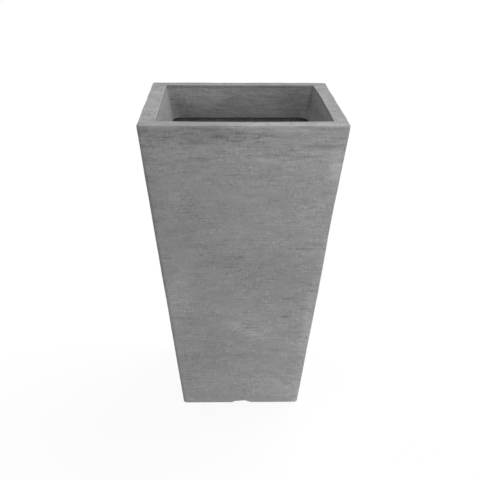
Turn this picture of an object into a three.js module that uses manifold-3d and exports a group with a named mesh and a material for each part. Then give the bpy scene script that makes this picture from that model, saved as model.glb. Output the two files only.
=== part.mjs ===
// Tall fiberglass planter: a tapered square shell with a flat rim and an inner collar, on a foot flange.
// Inside are the bonded floor with its drain plug, four cleats, and a loose shelf that carries the soil.
//
// Units are millimetres. +Z is up, the front face looks along -Y, and the origin is on the ground at the
// centre of the foot. The walls are lofts through squares with round corners. A size is half a side
// where its name says "half", and a depth is measured down from the top of the rim.

import * as THREE from 'three';
import * as BufferGeometryUtils from 'three/addons/utils/BufferGeometryUtils.js';
import Module from 'manifold-3d';

const wasm = await Module();
wasm.setup();

// ---------------------------------------------------------------------------------------------------
// Driving dimensions
// ---------------------------------------------------------------------------------------------------

// Body
const HEIGHT = 657; // ground to the top of the rim
const RIM_WIDTH = 400; // across the outside at the top
const FOOT_WIDTH = 256; // across the outside at the ground
const WALL = 5; // laminate thickness
const CORNER_RADIUS = 7; // upright outer corners, seen from above
const INNER_CORNER_RADIUS = 9; // the same corners inside, where the laminate builds up

// Rim
const RIM_FLAT = 30.6; // width of the flat top
const RIM_THICKNESS = 6;
const RIM_EDGE_RADIUS = 2;
const MOUTH_CORNER_RADIUS = 5; // corners of the rim's inner edge, seen from above

// Collar
const COLLAR_DEPTH = 72.6; // top of the rim to the collar's lower edge
const COLLAR_SLOPE = 12.3; // degrees that its walls lean in as they go down
const COLLAR_WALL = 4.5;
const COLLAR_FLANGE = 12; // width of the bonding flange under the rim
const COLLAR_LOWER_RADIUS = 12; // corners of the lower edge, seen from above

// Foot
const FOOT_FLANGE = 30; // width of the flange that the walls turn into
const FOOT_THICKNESS = 7;
const FOOT_EDGE_RADIUS = 5.5;
const RELIEF_WIDTH = 42; // drain relief under the flange, at the middle of each side
const RELIEF_HEIGHT = 5;

// Floor
const FLOOR_THICKNESS = 6;
const FLOOR_EDGE_WALL = 4.5; // the upturned edge, which is bonded to the shell
const FLOOR_EDGE_HEIGHT = 28; // underside of the floor to the top of the upturned edge
const DRAIN_RADIUS = 16;

// Drain plug
const PLUG_TAPER = 1.2; // how much the stem's radius shrinks towards its tip
const PLUG_REACH = 2.2; // how far the tip stands below the floor
const PLUG_FLANGE_RADIUS = 23;
const PLUG_FLANGE_THICKNESS = 4;
const PLUG_NECK_RADIUS = 5;
const PLUG_NECK_HEIGHT = 6;
const PLUG_GRIP_RADIUS = 8.5;
const PLUG_GRIP_THICKNESS = 7;
const PLUG_ROUNDING = 1.5;

// Shelf
const SHELF_HEIGHT = 250; // ground to the top of the shelf
const SHELF_THICKNESS = 6;
const SHELF_SKIRT_HEIGHT = 20; // underside of the skirt to the top of the shelf
const SHELF_SKIRT_WALL = 5;
const SHELF_CORNER_RADIUS = 14;
const SHELF_EDGE_RADIUS = 2;
const SHELF_DRAIN_RADIUS = 6;
const SHELF_DRAIN_PITCH = 50;
const SHELF_DRAINS_PER_SIDE = 5;
const FINGER_RADIUS = 15;
const FINGER_SPACING = 150; // between the centres of the two finger holes

// Cleats
const CLEAT_LENGTH = 150;
const CLEAT_HEIGHT = 30;
const CLEAT_LEDGE = 16; // how far a cleat reaches in under the shelf
const CLEAT_FOOT_DEPTH = 8; // how far its lower edge stands off the wall

// Clearances
const BOND_GAP = 0.3; // between faces that are bonded or rest on each other
const PLUG_GAP = 0.35; // around the plug's stem
const SHELF_GAP = 3; // around the shelf, so that it lifts out

// Fineness of the round stretches
const CORNER_STEPS = 6; // along each upright corner
const EDGE_STEPS = 4; // across each rounded edge
const HOLE_SEGMENTS = 16; // around each shelf hole
const DRAIN_SEGMENTS = 32; // around the drain hole and its plug

// ---------------------------------------------------------------------------------------------------
// Lines that the pieces share
// ---------------------------------------------------------------------------------------------------

const wallLean = Math.atan2((RIM_WIDTH - FOOT_WIDTH) / 2, HEIGHT);
const collarLean = THREE.MathUtils.degToRad(COLLAR_SLOPE);

// Half a side of the shell at a height, outside and inside.
const outerHalf = (z) => FOOT_WIDTH / 2 + z * Math.tan(wallLean);
const innerHalf = (z) => outerHalf(z) - WALL / Math.cos(wallLean);

// Half a side of the collar's inner face at a depth, and its corner radius.
const collarHalf = (depth) => RIM_WIDTH / 2 - RIM_FLAT - depth * Math.tan(collarLean);
const collarRadius = (depth) => (
  THREE.MathUtils.lerp(MOUTH_CORNER_RADIUS, COLLAR_LOWER_RADIUS, depth / COLLAR_DEPTH)
);

const collarTop = RIM_THICKNESS + BOND_GAP; // depth of the collar's upper face
const floorBottom = FOOT_THICKNESS + BOND_GAP;
const floorTop = floorBottom + FLOOR_THICKNESS;
const skirtBottom = SHELF_HEIGHT - SHELF_SKIRT_HEIGHT;
const cleatTop = skirtBottom - BOND_GAP;
const cleatBottom = cleatTop - CLEAT_HEIGHT;

// The shelf fills the shell where it rests, but never more than the collar lets through.
const shelfHalf = Math.min(innerHalf(skirtBottom), collarHalf(COLLAR_DEPTH)) - SHELF_GAP;

// ---------------------------------------------------------------------------------------------------
// Geometry helpers
// ---------------------------------------------------------------------------------------------------

// A ring of points at a height, round a square whose corners have a radius.
function squareRing({ half, radius, z }) {
  const ring = [];
  for (let corner = 0; corner < 4; corner += 1) {
    const centreX = corner === 0 || corner === 3 ? half - radius : radius - half;
    const centreY = corner < 2 ? half - radius : radius - half;
    for (let step = 0; step <= CORNER_STEPS; step += 1) {
      const angle = (corner + step / CORNER_STEPS) * Math.PI / 2;
      ring.push([centreX + radius * Math.cos(angle), centreY + radius * Math.sin(angle), z]);
    }
  }
  return ring;
}

// The same square as a flat shape.
function squareShape(half, radius) {
  return new THREE.Shape(squareRing({ half, radius, z: 0 }).map(([x, y]) => new THREE.Vector2(x, y)));
}

// A closed frame, lofted through square rings and back to the first. The stations run up the outside,
// over the top and down the inside.
function squareFrame(stations) {
  const rings = stations.map(squareRing);
  const size = rings[0].length;
  const index = [];
  for (let i = 0; i < rings.length; i += 1) {
    const low = i * size;
    const high = ((i + 1) % rings.length) * size;
    for (let j = 0; j < size; j += 1) {
      const right = (j + 1) % size;
      index.push(low + j, low + right, high + right);
      index.push(low + j, high + right, high + j);
    }
  }
  const geometry = new THREE.BufferGeometry();
  geometry.setAttribute('position', new THREE.Float32BufferAttribute(rings.flat(2), 3));
  geometry.setIndex(index);
  geometry.computeVertexNormals();
  return geometry;
}

// Stations along a rounded edge: an arc in the wall's section about a centre station. At 0 degrees it
// is outwards of the centre, and at 90 degrees above it.
function edgeArc(centre, edgeRadius, fromDegrees, toDegrees) {
  return Array.from({ length: EDGE_STEPS + 1 }, (_, step) => {
    const angle = THREE.MathUtils.degToRad(
      THREE.MathUtils.lerp(fromDegrees, toDegrees, step / EDGE_STEPS),
    );
    const out = edgeRadius * Math.cos(angle);
    return {
      half: centre.half + out,
      radius: centre.radius + out,
      z: centre.z + edgeRadius * Math.sin(angle),
    };
  });
}

// A flat plate of a shape, with its underside at a height.
function plate(shape, thickness, z) {
  const geometry = new THREE.ExtrudeGeometry(shape, {
    depth: thickness, bevelEnabled: false, curveSegments: HOLE_SEGMENTS,
  });
  return geometry.translate(0, 0, z);
}

// A round hole for a shape, with its corners on the circle.
function roundHole(x, y, radius, segments) {
  const outline = new THREE.EllipseCurve(x, y, radius, radius).getPoints(segments).slice(0, segments);
  return new THREE.Path(outline);
}

// A geometry as a solid that can be joined and cut.
function solidOf(geometry) {
  const bare = geometry.clone();
  bare.deleteAttribute('normal');
  bare.deleteAttribute('uv');
  const merged = BufferGeometryUtils.mergeVertices(bare, 1e-4);
  return new wasm.Manifold(new wasm.Mesh({
    numProp: 3,
    vertProperties: new Float32Array(merged.attributes.position.array),
    triVerts: new Uint32Array(merged.index.array),
  }));
}

// A solid as a geometry again.
function geometryOf(solid) {
  const mesh = solid.getMesh();
  const geometry = new THREE.BufferGeometry();
  geometry.setAttribute('position', new THREE.BufferAttribute(mesh.vertProperties, 3));
  geometry.setIndex(new THREE.BufferAttribute(mesh.triVerts, 1));
  geometry.computeVertexNormals();
  return geometry;
}

// ---------------------------------------------------------------------------------------------------
// Pieces
// ---------------------------------------------------------------------------------------------------

// Cutter for one drain relief: a low arch across the foot flange on the +X side.
function reliefCutter() {
  const half = RELIEF_WIDTH / 2;
  const below = RELIEF_HEIGHT; // how far the cutter reaches under the ground
  const arch = new THREE.Shape();
  arch.moveTo(-half, -below);
  arch.lineTo(half, -below);
  arch.absarc(half - RELIEF_HEIGHT, 0, RELIEF_HEIGHT, 0, Math.PI / 2);
  arch.absarc(RELIEF_HEIGHT - half, 0, RELIEF_HEIGHT, Math.PI / 2, Math.PI);
  const overrun = RELIEF_HEIGHT; // how far it runs past both sides of the flange
  const geometry = new THREE.ExtrudeGeometry(arch, {
    depth: FOOT_FLANGE + 2 * overrun, bevelEnabled: false, curveSegments: EDGE_STEPS,
  });
  geometry.rotateX(Math.PI / 2).rotateZ(Math.PI / 2);
  return geometry.translate(FOOT_WIDTH / 2 - FOOT_FLANGE - overrun, 0, 0);
}

// Tapered shell: walls, flat rim and foot flange in one laminate, with a drain relief in each side.
function bodyShell() {
  const leanDegrees = THREE.MathUtils.radToDeg(wallLean);
  const footCentre = {
    half: outerHalf(FOOT_EDGE_RADIUS) - FOOT_EDGE_RADIUS / Math.cos(wallLean),
    radius: CORNER_RADIUS - FOOT_EDGE_RADIUS * Math.cos(wallLean),
    z: FOOT_EDGE_RADIUS,
  };
  const rimHeight = HEIGHT - RIM_EDGE_RADIUS;
  const rimCentre = {
    half: outerHalf(rimHeight) - RIM_EDGE_RADIUS / Math.cos(wallLean),
    radius: CORNER_RADIUS - RIM_EDGE_RADIUS * Math.cos(wallLean),
    z: rimHeight,
  };
  const mouthCentre = {
    half: collarHalf(RIM_EDGE_RADIUS) + RIM_EDGE_RADIUS / Math.cos(collarLean),
    radius: MOUTH_CORNER_RADIUS + RIM_EDGE_RADIUS * Math.cos(collarLean),
    z: rimHeight,
  };
  const rimBottom = HEIGHT - RIM_THICKNESS;
  const flangeEdge = { half: FOOT_WIDTH / 2 - FOOT_FLANGE, radius: INNER_CORNER_RADIUS };
  let shell = solidOf(squareFrame([
    ...edgeArc(footCentre, FOOT_EDGE_RADIUS, -90, -leanDegrees),
    ...edgeArc(rimCentre, RIM_EDGE_RADIUS, -leanDegrees, 90),
    ...edgeArc(mouthCentre, RIM_EDGE_RADIUS, 90, 180 - COLLAR_SLOPE),
    { half: collarHalf(RIM_THICKNESS), radius: collarRadius(RIM_THICKNESS), z: rimBottom },
    { half: innerHalf(rimBottom), radius: INNER_CORNER_RADIUS, z: rimBottom },
    { half: innerHalf(FOOT_THICKNESS), radius: INNER_CORNER_RADIUS, z: FOOT_THICKNESS },
    { ...flangeEdge, z: FOOT_THICKNESS },
    { ...flangeEdge, z: 0 },
  ]));
  for (let side = 0; side < 4; side += 1) {
    shell = shell.subtract(solidOf(reliefCutter().rotateZ(side * Math.PI / 2)));
  }
  return geometryOf(shell);
}

// Collar under the rim's inner edge: a skirt that leans in, with a bonding flange at its top.
function rimCollar() {
  const back = COLLAR_WALL / Math.cos(collarLean); // from the skirt's inner face to its outer face
  const flangeBottom = collarTop + COLLAR_WALL;
  const station = (depth, outwards) => ({
    half: collarHalf(depth) + outwards, radius: collarRadius(depth) + outwards, z: HEIGHT - depth,
  });
  return squareFrame([
    station(COLLAR_DEPTH, back),
    station(flangeBottom, back),
    station(flangeBottom, back + COLLAR_FLANGE),
    station(collarTop, back + COLLAR_FLANGE),
    station(collarTop, 0),
    station(COLLAR_DEPTH, 0),
  ]);
}

// Floor: a plate on the foot flange, with an upturned edge along the walls and the drain hole.
function basePan() {
  const edgeTop = floorBottom + FLOOR_EDGE_HEIGHT;
  const station = (z, inwards) => ({
    half: innerHalf(z) - BOND_GAP - inwards, radius: INNER_CORNER_RADIUS - inwards, z,
  });
  const edge = squareFrame([
    station(floorBottom, 0),
    station(edgeTop, 0),
    station(edgeTop, FLOOR_EDGE_WALL),
    station(floorBottom, FLOOR_EDGE_WALL),
  ]);
  const { half, radius } = station(floorBottom, FLOOR_EDGE_WALL / 2);
  const shape = squareShape(half, radius);
  shape.holes.push(roundHole(0, 0, DRAIN_RADIUS, DRAIN_SEGMENTS));
  return geometryOf(solidOf(edge).add(solidOf(plate(shape, FLOOR_THICKNESS, floorBottom))));
}

// Drain plug: a tapered stem, a flange that seals on the floor, and a grip to pull it out by.
function drainPlug() {
  const stemRadius = DRAIN_RADIUS - PLUG_GAP;
  const tip = floorBottom - PLUG_REACH;
  const flangeBottom = floorTop + BOND_GAP;
  const flangeTop = flangeBottom + PLUG_FLANGE_THICKNESS;
  const gripBottom = flangeTop + PLUG_NECK_HEIGHT;
  const gripTop = gripBottom + PLUG_GRIP_THICKNESS;
  const profile = [
    [0, tip],
    [stemRadius - PLUG_TAPER - PLUG_ROUNDING, tip],
    [stemRadius - PLUG_TAPER, tip + PLUG_ROUNDING],
    [stemRadius, flangeBottom],
    [PLUG_FLANGE_RADIUS, flangeBottom],
    [PLUG_FLANGE_RADIUS, flangeTop - PLUG_ROUNDING],
    [PLUG_FLANGE_RADIUS - PLUG_ROUNDING, flangeTop],
    [PLUG_NECK_RADIUS, flangeTop],
    [PLUG_NECK_RADIUS, gripBottom],
    [PLUG_GRIP_RADIUS - PLUG_ROUNDING, gripBottom],
    [PLUG_GRIP_RADIUS, gripBottom + PLUG_ROUNDING],
    [PLUG_GRIP_RADIUS, gripTop - PLUG_ROUNDING],
    [PLUG_GRIP_RADIUS - PLUG_ROUNDING, gripTop],
    [0, gripTop],
  ];
  const points = profile.map(([radius, height]) => new THREE.Vector2(radius, height));
  return new THREE.LatheGeometry(points, DRAIN_SEGMENTS).rotateX(Math.PI / 2);
}

// Loose shelf: a plate with drain holes and two finger holes, stiffened by a skirt that rests on the
// cleats. The grid of drain holes leaves out those that a finger hole would meet.
function soilShelf() {
  const plateRadius = SHELF_CORNER_RADIUS - SHELF_SKIRT_WALL / 2;
  const shape = squareShape(shelfHalf - SHELF_SKIRT_WALL / 2, plateRadius);
  const fingers = [-1, 1].map((side) => new THREE.Vector2(side * FINGER_SPACING / 2, 0));
  for (const centre of fingers) {
    shape.holes.push(roundHole(centre.x, centre.y, FINGER_RADIUS, 2 * HOLE_SEGMENTS));
  }
  const middle = (SHELF_DRAINS_PER_SIDE - 1) / 2;
  const land = 2 * SHELF_THICKNESS; // least material between two holes
  for (let row = 0; row < SHELF_DRAINS_PER_SIDE; row += 1) {
    for (let column = 0; column < SHELF_DRAINS_PER_SIDE; column += 1) {
      const drain = new THREE.Vector2(column - middle, row - middle).multiplyScalar(SHELF_DRAIN_PITCH);
      const nearest = Math.min(...fingers.map((centre) => centre.distanceTo(drain)));
      if (nearest > FINGER_RADIUS + SHELF_DRAIN_RADIUS + land) {
        shape.holes.push(roundHole(drain.x, drain.y, SHELF_DRAIN_RADIUS, HOLE_SEGMENTS));
      }
    }
  }
  const top = plate(shape, SHELF_THICKNESS, SHELF_HEIGHT - SHELF_THICKNESS);
  const outside = { half: shelfHalf, radius: SHELF_CORNER_RADIUS };
  const inside = {
    half: shelfHalf - SHELF_SKIRT_WALL, radius: SHELF_CORNER_RADIUS - SHELF_SKIRT_WALL,
  };
  const edgeCentre = {
    half: shelfHalf - SHELF_EDGE_RADIUS,
    radius: SHELF_CORNER_RADIUS - SHELF_EDGE_RADIUS,
    z: SHELF_HEIGHT - SHELF_EDGE_RADIUS,
  };
  const skirt = squareFrame([
    { ...outside, z: skirtBottom },
    ...edgeArc(edgeCentre, SHELF_EDGE_RADIUS, 0, 90),
    { ...inside, z: SHELF_HEIGHT },
    { ...inside, z: skirtBottom },
  ]);
  return geometryOf(solidOf(skirt).add(solidOf(top)));
}

// Cleat: a wedge-shaped batten along the middle of the +X wall. The others are this one, turned.
function cleat() {
  const section = new THREE.Shape([
    new THREE.Vector2(innerHalf(cleatBottom) - BOND_GAP - CLEAT_FOOT_DEPTH, cleatBottom),
    new THREE.Vector2(innerHalf(cleatBottom) - BOND_GAP, cleatBottom),
    new THREE.Vector2(innerHalf(cleatTop) - BOND_GAP, cleatTop),
    new THREE.Vector2(shelfHalf - CLEAT_LEDGE, cleatTop),
  ]);
  const geometry = new THREE.ExtrudeGeometry(section, { depth: CLEAT_LENGTH, bevelEnabled: false });
  return geometry.translate(0, 0, -CLEAT_LENGTH / 2).rotateX(Math.PI / 2);
}

// ---------------------------------------------------------------------------------------------------
// Finishes
// ---------------------------------------------------------------------------------------------------

const brushedGelcoat = () => new THREE.MeshStandardMaterial({
  name: 'brushed grey gelcoat', color: '#8b8b8a', roughness: 0.78, metalness: 0,
});
const rawLaminate = () => new THREE.MeshStandardMaterial({
  name: 'raw laminate', color: '#80807f', roughness: 0.7, metalness: 0,
});
const blackRubber = () => new THREE.MeshStandardMaterial({
  name: 'black rubber', color: '#1f1f1f', roughness: 0.7, metalness: 0,
});
const mouldedPlastic = () => new THREE.MeshStandardMaterial({
  name: 'charcoal moulded plastic', color: '#303131', roughness: 0.55, metalness: 0,
});

// ---------------------------------------------------------------------------------------------------
// Assembly
// ---------------------------------------------------------------------------------------------------

// A named sub-part.
function subPart(name, geometry, material) {
  const mesh = new THREE.Mesh(geometry, material);
  mesh.name = name;
  return mesh;
}

// The four cleats, one on each wall.
function cleats() {
  const group = new THREE.Group();
  ['right', 'back', 'left', 'front'].forEach((side, quarter) => {
    const batten = subPart(`cleat_${side}`, cleat(), rawLaminate());
    batten.rotation.z = quarter * Math.PI / 2;
    group.add(batten);
  });
  return group;
}

const planter = new THREE.Group();
planter.add(
  subPart('body_shell', bodyShell(), brushedGelcoat()),
  subPart('rim_collar', rimCollar(), brushedGelcoat()),
  subPart('base_pan', basePan(), rawLaminate()),
  subPart('drain_plug', drainPlug(), blackRubber()),
  cleats(),
  subPart('soil_shelf', soilShelf(), mouldedPlastic()),
);

export default planter;
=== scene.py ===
"""Looks of a tall, tapered fiberglass planter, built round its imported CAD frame.

Lengths are metres, but for those of marks and grain, which are millimetres. +Z is up and the front face
looks along -Y. Every wall of the planter is a section, a closed line in the plane of half width and
height, that is carried round a square with round corners. The walls get the slight waviness of a
hand-laid laminate, and their colour and relief come from nodes.
"""

from __future__ import annotations

import logging
import math
from dataclasses import dataclass, field
from enum import Enum, IntEnum
from typing import Any, Mapping, Sequence

import bpy
import numpy as np
from mathutils import Matrix, Vector

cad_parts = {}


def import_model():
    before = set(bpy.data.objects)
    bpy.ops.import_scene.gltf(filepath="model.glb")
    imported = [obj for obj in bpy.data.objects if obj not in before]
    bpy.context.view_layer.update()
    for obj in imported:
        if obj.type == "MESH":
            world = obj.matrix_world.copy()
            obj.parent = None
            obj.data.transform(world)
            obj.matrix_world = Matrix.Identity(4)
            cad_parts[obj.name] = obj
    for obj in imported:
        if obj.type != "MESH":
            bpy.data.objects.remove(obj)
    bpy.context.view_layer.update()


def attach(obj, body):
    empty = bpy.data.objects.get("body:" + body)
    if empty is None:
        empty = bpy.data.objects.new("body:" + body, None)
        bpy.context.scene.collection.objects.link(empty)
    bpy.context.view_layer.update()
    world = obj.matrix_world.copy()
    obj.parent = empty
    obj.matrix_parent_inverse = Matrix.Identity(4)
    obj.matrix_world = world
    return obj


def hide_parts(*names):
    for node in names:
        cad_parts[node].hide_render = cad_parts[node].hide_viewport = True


log = logging.getLogger("planter")
Array = np.ndarray
MM = 0.001
WHITE = "#ffffff"
TINY = 1e-12  # keeps a division off zero
CRISP = 0.05 * MM  # fillet of an edge that looks sharp
UNSEEN = 0.1 * MM  # fillet of a bend that is hidden or hardly turns
LEAST_CORNER = 0.2 * MM  # least corner radius of a square
SHARP_TURN = math.radians(60)  # turn from which a bend counts fully as an edge
END_STEP = 0.6 * MM  # distance of the extra stations from the ends of a straight stretch
END_SHARE = 0.2  # most that this distance takes of a short stretch
SAME_PLACE = 0.01 * MM  # size of the cells in which vertices are made one


# --------------------------------------------------------------------------------------------------
# Sections and surfaces
# --------------------------------------------------------------------------------------------------


class Face(IntEnum):
    """Which of a piece's two finishes a stretch of its surface has."""

    SHOW = 0
    RAW = 1


@dataclass(frozen=True)
class Bend:
    """One bend of a section.

    Attributes:
        half: Half a side of the square at the bend.
        z: Height of the bend.
        fillet: Radius of the bend itself.
        corner: Radius of the square's corners at the bend.
        circle: How far the square has turned into a circle of the same half width, 0 to 1.
        face: Finish of the stretch that follows the bend.
    """

    half: float
    z: float
    fillet: float
    corner: float
    circle: float = 0.0
    face: Face = Face.SHOW


@dataclass
class Section:
    """Stations along a closed section, one row each.

    Attributes:
        half: Half widths.
        z: Heights.
        corner: Corner radii of the square.
        circle: Shares of the circle.
        edge: 1 on a sharp rounded bend and 0 on a straight stretch.
        face: Finish of the stretch after each station.
    """

    half: Array
    z: Array
    corner: Array
    circle: Array
    edge: Array
    face: Array

    @property
    def run(self) -> Array:
        """Distance of each station along the section, from the first."""
        steps = np.hypot(np.diff(self.half), np.diff(self.z))
        return np.concatenate([[0.0], np.cumsum(steps)])

    @classmethod
    def trace(cls, bends: Sequence[Bend], spacing: float, arc_steps: int = 5) -> Section:
        """Rounds each bend and divides the straight stretches, evenly but for a station near each end.

        A bend of radius r that turns by an angle a starts r * tan(a / 2) before the corner point. From
        there the point at turn t is start + r * (sin t * u + (1 - cos t) * n), with u the way in and n
        the direction square to it on the inside of the turn. On a bend the square's corner radius
        grows and shrinks with the half width, and between bends it changes evenly.

        Args:
            bends: The bends in order. The last is joined to the first.
            spacing: Longest step on a straight stretch.
            arc_steps: Steps on each bend.

        Returns:
            The stations.
        """
        place = np.array([(b.half, b.z) for b in bends])
        way = np.roll(place, -1, axis=0) - place
        way /= np.linalg.norm(way, axis=1, keepdims=True)
        arcs: list[Array] = []
        sharpness: list[float] = []
        for bend, corner_point, into, out in zip(bends, place, np.roll(way, 1, axis=0), way):
            cosine = float(np.clip(into @ out, -1, 1))
            turn = math.acos(cosine)
            side = (out - into * cosine) / max(math.sin(turn), TINY)
            start = corner_point - into * bend.fillet * math.tan(turn / 2)
            angle = np.linspace(0, turn, arc_steps + 1)[:, None]
            arc = start + bend.fillet * (np.sin(angle) * into + (1 - np.cos(angle)) * side)
            corner = np.maximum(bend.corner + arc[:, 0] - bend.half, LEAST_CORNER)
            arcs.append(np.column_stack([arc, corner, np.full(len(arc), bend.circle)]))
            sharpness.append(min(turn / SHARP_TURN, 1.0))
        rows, edges, faces = [], [], []
        for bend, arc, following, sharp in zip(bends, arcs, arcs[1:] + arcs[:1], sharpness):
            length = max(float(np.linalg.norm(following[0, :2] - arc[-1, :2])), TINY)
            steps = max(int(math.ceil(length / spacing)), 1)
            near = min(END_STEP / length, END_SHARE)
            even = np.linspace(0, 1, steps + 1)[1:-1]
            share = np.unique(np.concatenate([[near, 1 - near], even]))[:, None]
            straight = arc[-1] * (1 - share) + following[0] * share
            rows += [arc, straight]
            edges += [np.full(len(arc), sharp), np.zeros(len(straight))]
            faces += [np.full(len(arc) + len(straight), int(bend.face))]
        table = np.concatenate(rows)
        return cls(*table.T, np.concatenate(edges), np.concatenate(faces))

    def carried_round(self, side_steps: int, corner_steps: int) -> Array:
        """Carries the section round its square.

        A point of the square is a * (half - corner) + b * corner. On a round corner a is the corner's
        sign pair and b turns through a quarter. On a side a runs evenly from one corner's signs to the
        next and b points straight out. Where the square turns into a circle, the point moves towards
        the one at the same angle on the circle.

        Args:
            side_steps: Steps along each straight side.
            corner_steps: Steps along each corner.

        Returns:
            Points, one row for each station.
        """
        signs = np.array([(1, 1), (-1, 1), (-1, -1), (1, -1)], float)
        spans, turns = [], []
        for quarter in range(4):
            angle = (quarter + np.linspace(0, 1, corner_steps + 1)) * math.pi / 2
            share = np.linspace(0, 1, side_steps + 1)[1:-1, None]
            spans += [np.repeat(signs[[quarter]], corner_steps + 1, axis=0)]
            spans += [signs[quarter] * (1 - share) + signs[(quarter + 1) % 4] * share]
            turns += [angle, np.full(side_steps - 1, angle[-1])]
        a = np.concatenate(spans)
        turn = np.concatenate(turns)
        b = np.column_stack([np.cos(turn), np.sin(turn)])
        square = a * (self.half - self.corner)[:, None, None] + b * self.corner[:, None, None]
        round_one = square / np.linalg.norm(square, axis=2, keepdims=True) * self.half[:, None, None]
        share = self.circle[:, None, None]
        plan = square * (1 - share) + round_one * share
        heights = np.broadcast_to(self.z[:, None, None], plan.shape[:2] + (1,))
        return np.concatenate([plan, heights], axis=2)


@dataclass
class Surface:
    """A mesh in arrays.

    Attributes:
        points: Vertices.
        lay: For each vertex its x and y, and its distance along the section. A brush stroke keeps the last.
        quads: Vertex numbers of the four-sided faces.
        triangles: Vertex numbers of the three-sided faces.
        edge: How much of a rounded edge each vertex is, 0 to 1.
        face: Finish of each four-sided face. The three-sided ones have the first finish.
    """

    points: Array
    lay: Array
    quads: Array
    edge: Array
    face: Array
    triangles: Array = field(default_factory=lambda: np.zeros((0, 3), int))

    @classmethod
    def from_grid(
        cls, grid: Array, edge: Array, face: Array, run: Array | None = None, closed: bool = True
    ) -> Surface:
        """Joins a grid of points whose rows close on themselves.

        Args:
            grid: Points, one ring a row. The rings run anticlockwise seen from above, and the rows run
                up the outside.
            edge: The edge value of each row.
            face: The finish of the faces after each row.
            run: The distance of each row along the section. Without it the height stands in.
            closed: Whether the last row is joined to the first.

        Returns:
            The surface.
        """
        rows, size = grid.shape[:2]
        low = np.arange(rows if closed else rows - 1)[:, None]
        here = np.arange(size)[None, :]
        right = (here + 1) % size
        high = (low + 1) % rows
        quads = np.stack([low * size + here, low * size + right, high * size + right, high * size + here], -1)
        lay = grid.copy()
        if run is not None:
            lay[..., 2] = run[:, None]
        return cls(
            grid.reshape(-1, 3), lay.reshape(-1, 3), quads.reshape(-1, 4), np.repeat(edge, size),
            np.repeat(face[: len(low)], size),
        )

    def cap(self, ring: Array, upwards: bool) -> None:
        """Closes a ring of vertices with a fan to its middle.

        Args:
            ring: Vertex numbers, anticlockwise seen from above.
            upwards: Whether the cap looks up.
        """
        middle = len(self.points)
        self.points = np.vstack([self.points, self.points[ring].mean(axis=0)])
        self.lay = np.vstack([self.lay, self.lay[ring].mean(axis=0)])
        self.edge = np.append(self.edge, 0.0)
        fan = np.column_stack([ring, np.roll(ring, -1), np.full(len(ring), middle)])
        self.triangles = np.vstack([self.triangles, fan if upwards else fan[:, ::-1]])

    def joined(self, *others: Surface) -> Surface:
        """Joins this surface with others, and makes vertices in the same place one.

        Args:
            *others: The other surfaces.

        Returns:
            The joined surface.
        """
        parts = (self, *others)
        starts = np.cumsum([0] + [len(part.points) for part in parts])
        points = np.vstack([part.points for part in parts])
        lay = np.vstack([part.lay for part in parts])
        keys = np.round(points / SAME_PLACE).astype(np.int64)
        _, first, number = np.unique(keys, axis=0, return_index=True, return_inverse=True)
        number = number.reshape(-1)
        quads = np.vstack([part.quads + start for part, start in zip(parts, starts)])
        triangles = np.vstack([part.triangles + start for part, start in zip(parts, starts)])
        edge = np.concatenate([part.edge for part in parts])
        face = np.concatenate([part.face for part in parts])
        return Surface(points[first], lay[first], number[quads], edge[first], face, number[triangles])

    def to_object(self, name: str, finishes: Sequence[bpy.types.Material]) -> bpy.types.Object:
        """Makes the surface an object with its place in its mesh.

        Args:
            name: The piece's name.
            finishes: Its materials, in the order of Face.

        Returns:
            The object.
        """
        mesh = bpy.data.meshes.new(name)
        faces = self.quads.tolist() + self.triangles.tolist()
        mesh.from_pydata(self.points.tolist(), [], faces)
        for finish in finishes:
            mesh.materials.append(finish)
        index = np.concatenate([self.face, np.zeros(len(self.triangles), int)]).astype(np.int32)
        mesh.polygons.foreach_set("material_index", np.minimum(index, len(finishes) - 1))
        mesh.polygons.foreach_set("use_smooth", np.ones(len(index), bool))
        edge = mesh.attributes.new("edge", "FLOAT", "POINT")
        edge.data.foreach_set("value", self.edge.astype(np.float32))
        lay = mesh.attributes.new("lay", "FLOAT_VECTOR", "POINT")
        lay.data.foreach_set("vector", self.lay.astype(np.float32).ravel())
        mesh.update()
        return added(name, mesh)


@dataclass(frozen=True)
class Ripple:
    """A smooth random field, the sum of waves with random directions and phases.

    Attributes:
        depth: About the largest value that the field reaches either way.
        wave: Typical wavelength along X, Y and Z.
        seed: Seed of the random numbers.
        waves: How many waves are added.
    """

    depth: float
    wave: tuple[float, float, float]
    seed: int
    waves: int = 28

    def at(self, points: Array) -> Array:
        """Works out the field, kept within the depth.

        It is depth * the sum of cos(pace . point + start) / (2 * sqrt(waves / 2)), over all waves.

        Args:
            points: The points.

        Returns:
            One value for each point.
        """
        numbers = np.random.default_rng(self.seed)
        pace = numbers.normal(size=(self.waves, 3)) * 2 * math.pi / np.array(self.wave)
        start = numbers.uniform(0, 2 * math.pi, self.waves)
        total = np.cos(points @ pace.T + start).sum(axis=-1) / math.sqrt(self.waves / 2)
        return self.depth * np.clip(total / 2, -1, 1)


def normals_of(grid: Array) -> Array:
    """Works out the outward unit normals of a grid that closes on itself both ways.

    Args:
        grid: Points, one ring a row.

    Returns:
        One normal for each point.
    """
    along = np.roll(grid, -1, axis=1) - np.roll(grid, 1, axis=1)
    across = np.roll(grid, -1, axis=0) - np.roll(grid, 1, axis=0)
    normal = np.cross(along, across)
    return normal / np.maximum(np.linalg.norm(normal, axis=2, keepdims=True), TINY)


def smooth(share: Array) -> Array:
    """Returns a share eased at both ends: 0 up to 0, 1 from 1, and 3 t^2 - 2 t^3 between."""
    kept = np.clip(share, 0, 1)
    return kept * kept * (3 - 2 * kept)


# --------------------------------------------------------------------------------------------------
# Finishes
# --------------------------------------------------------------------------------------------------


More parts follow.
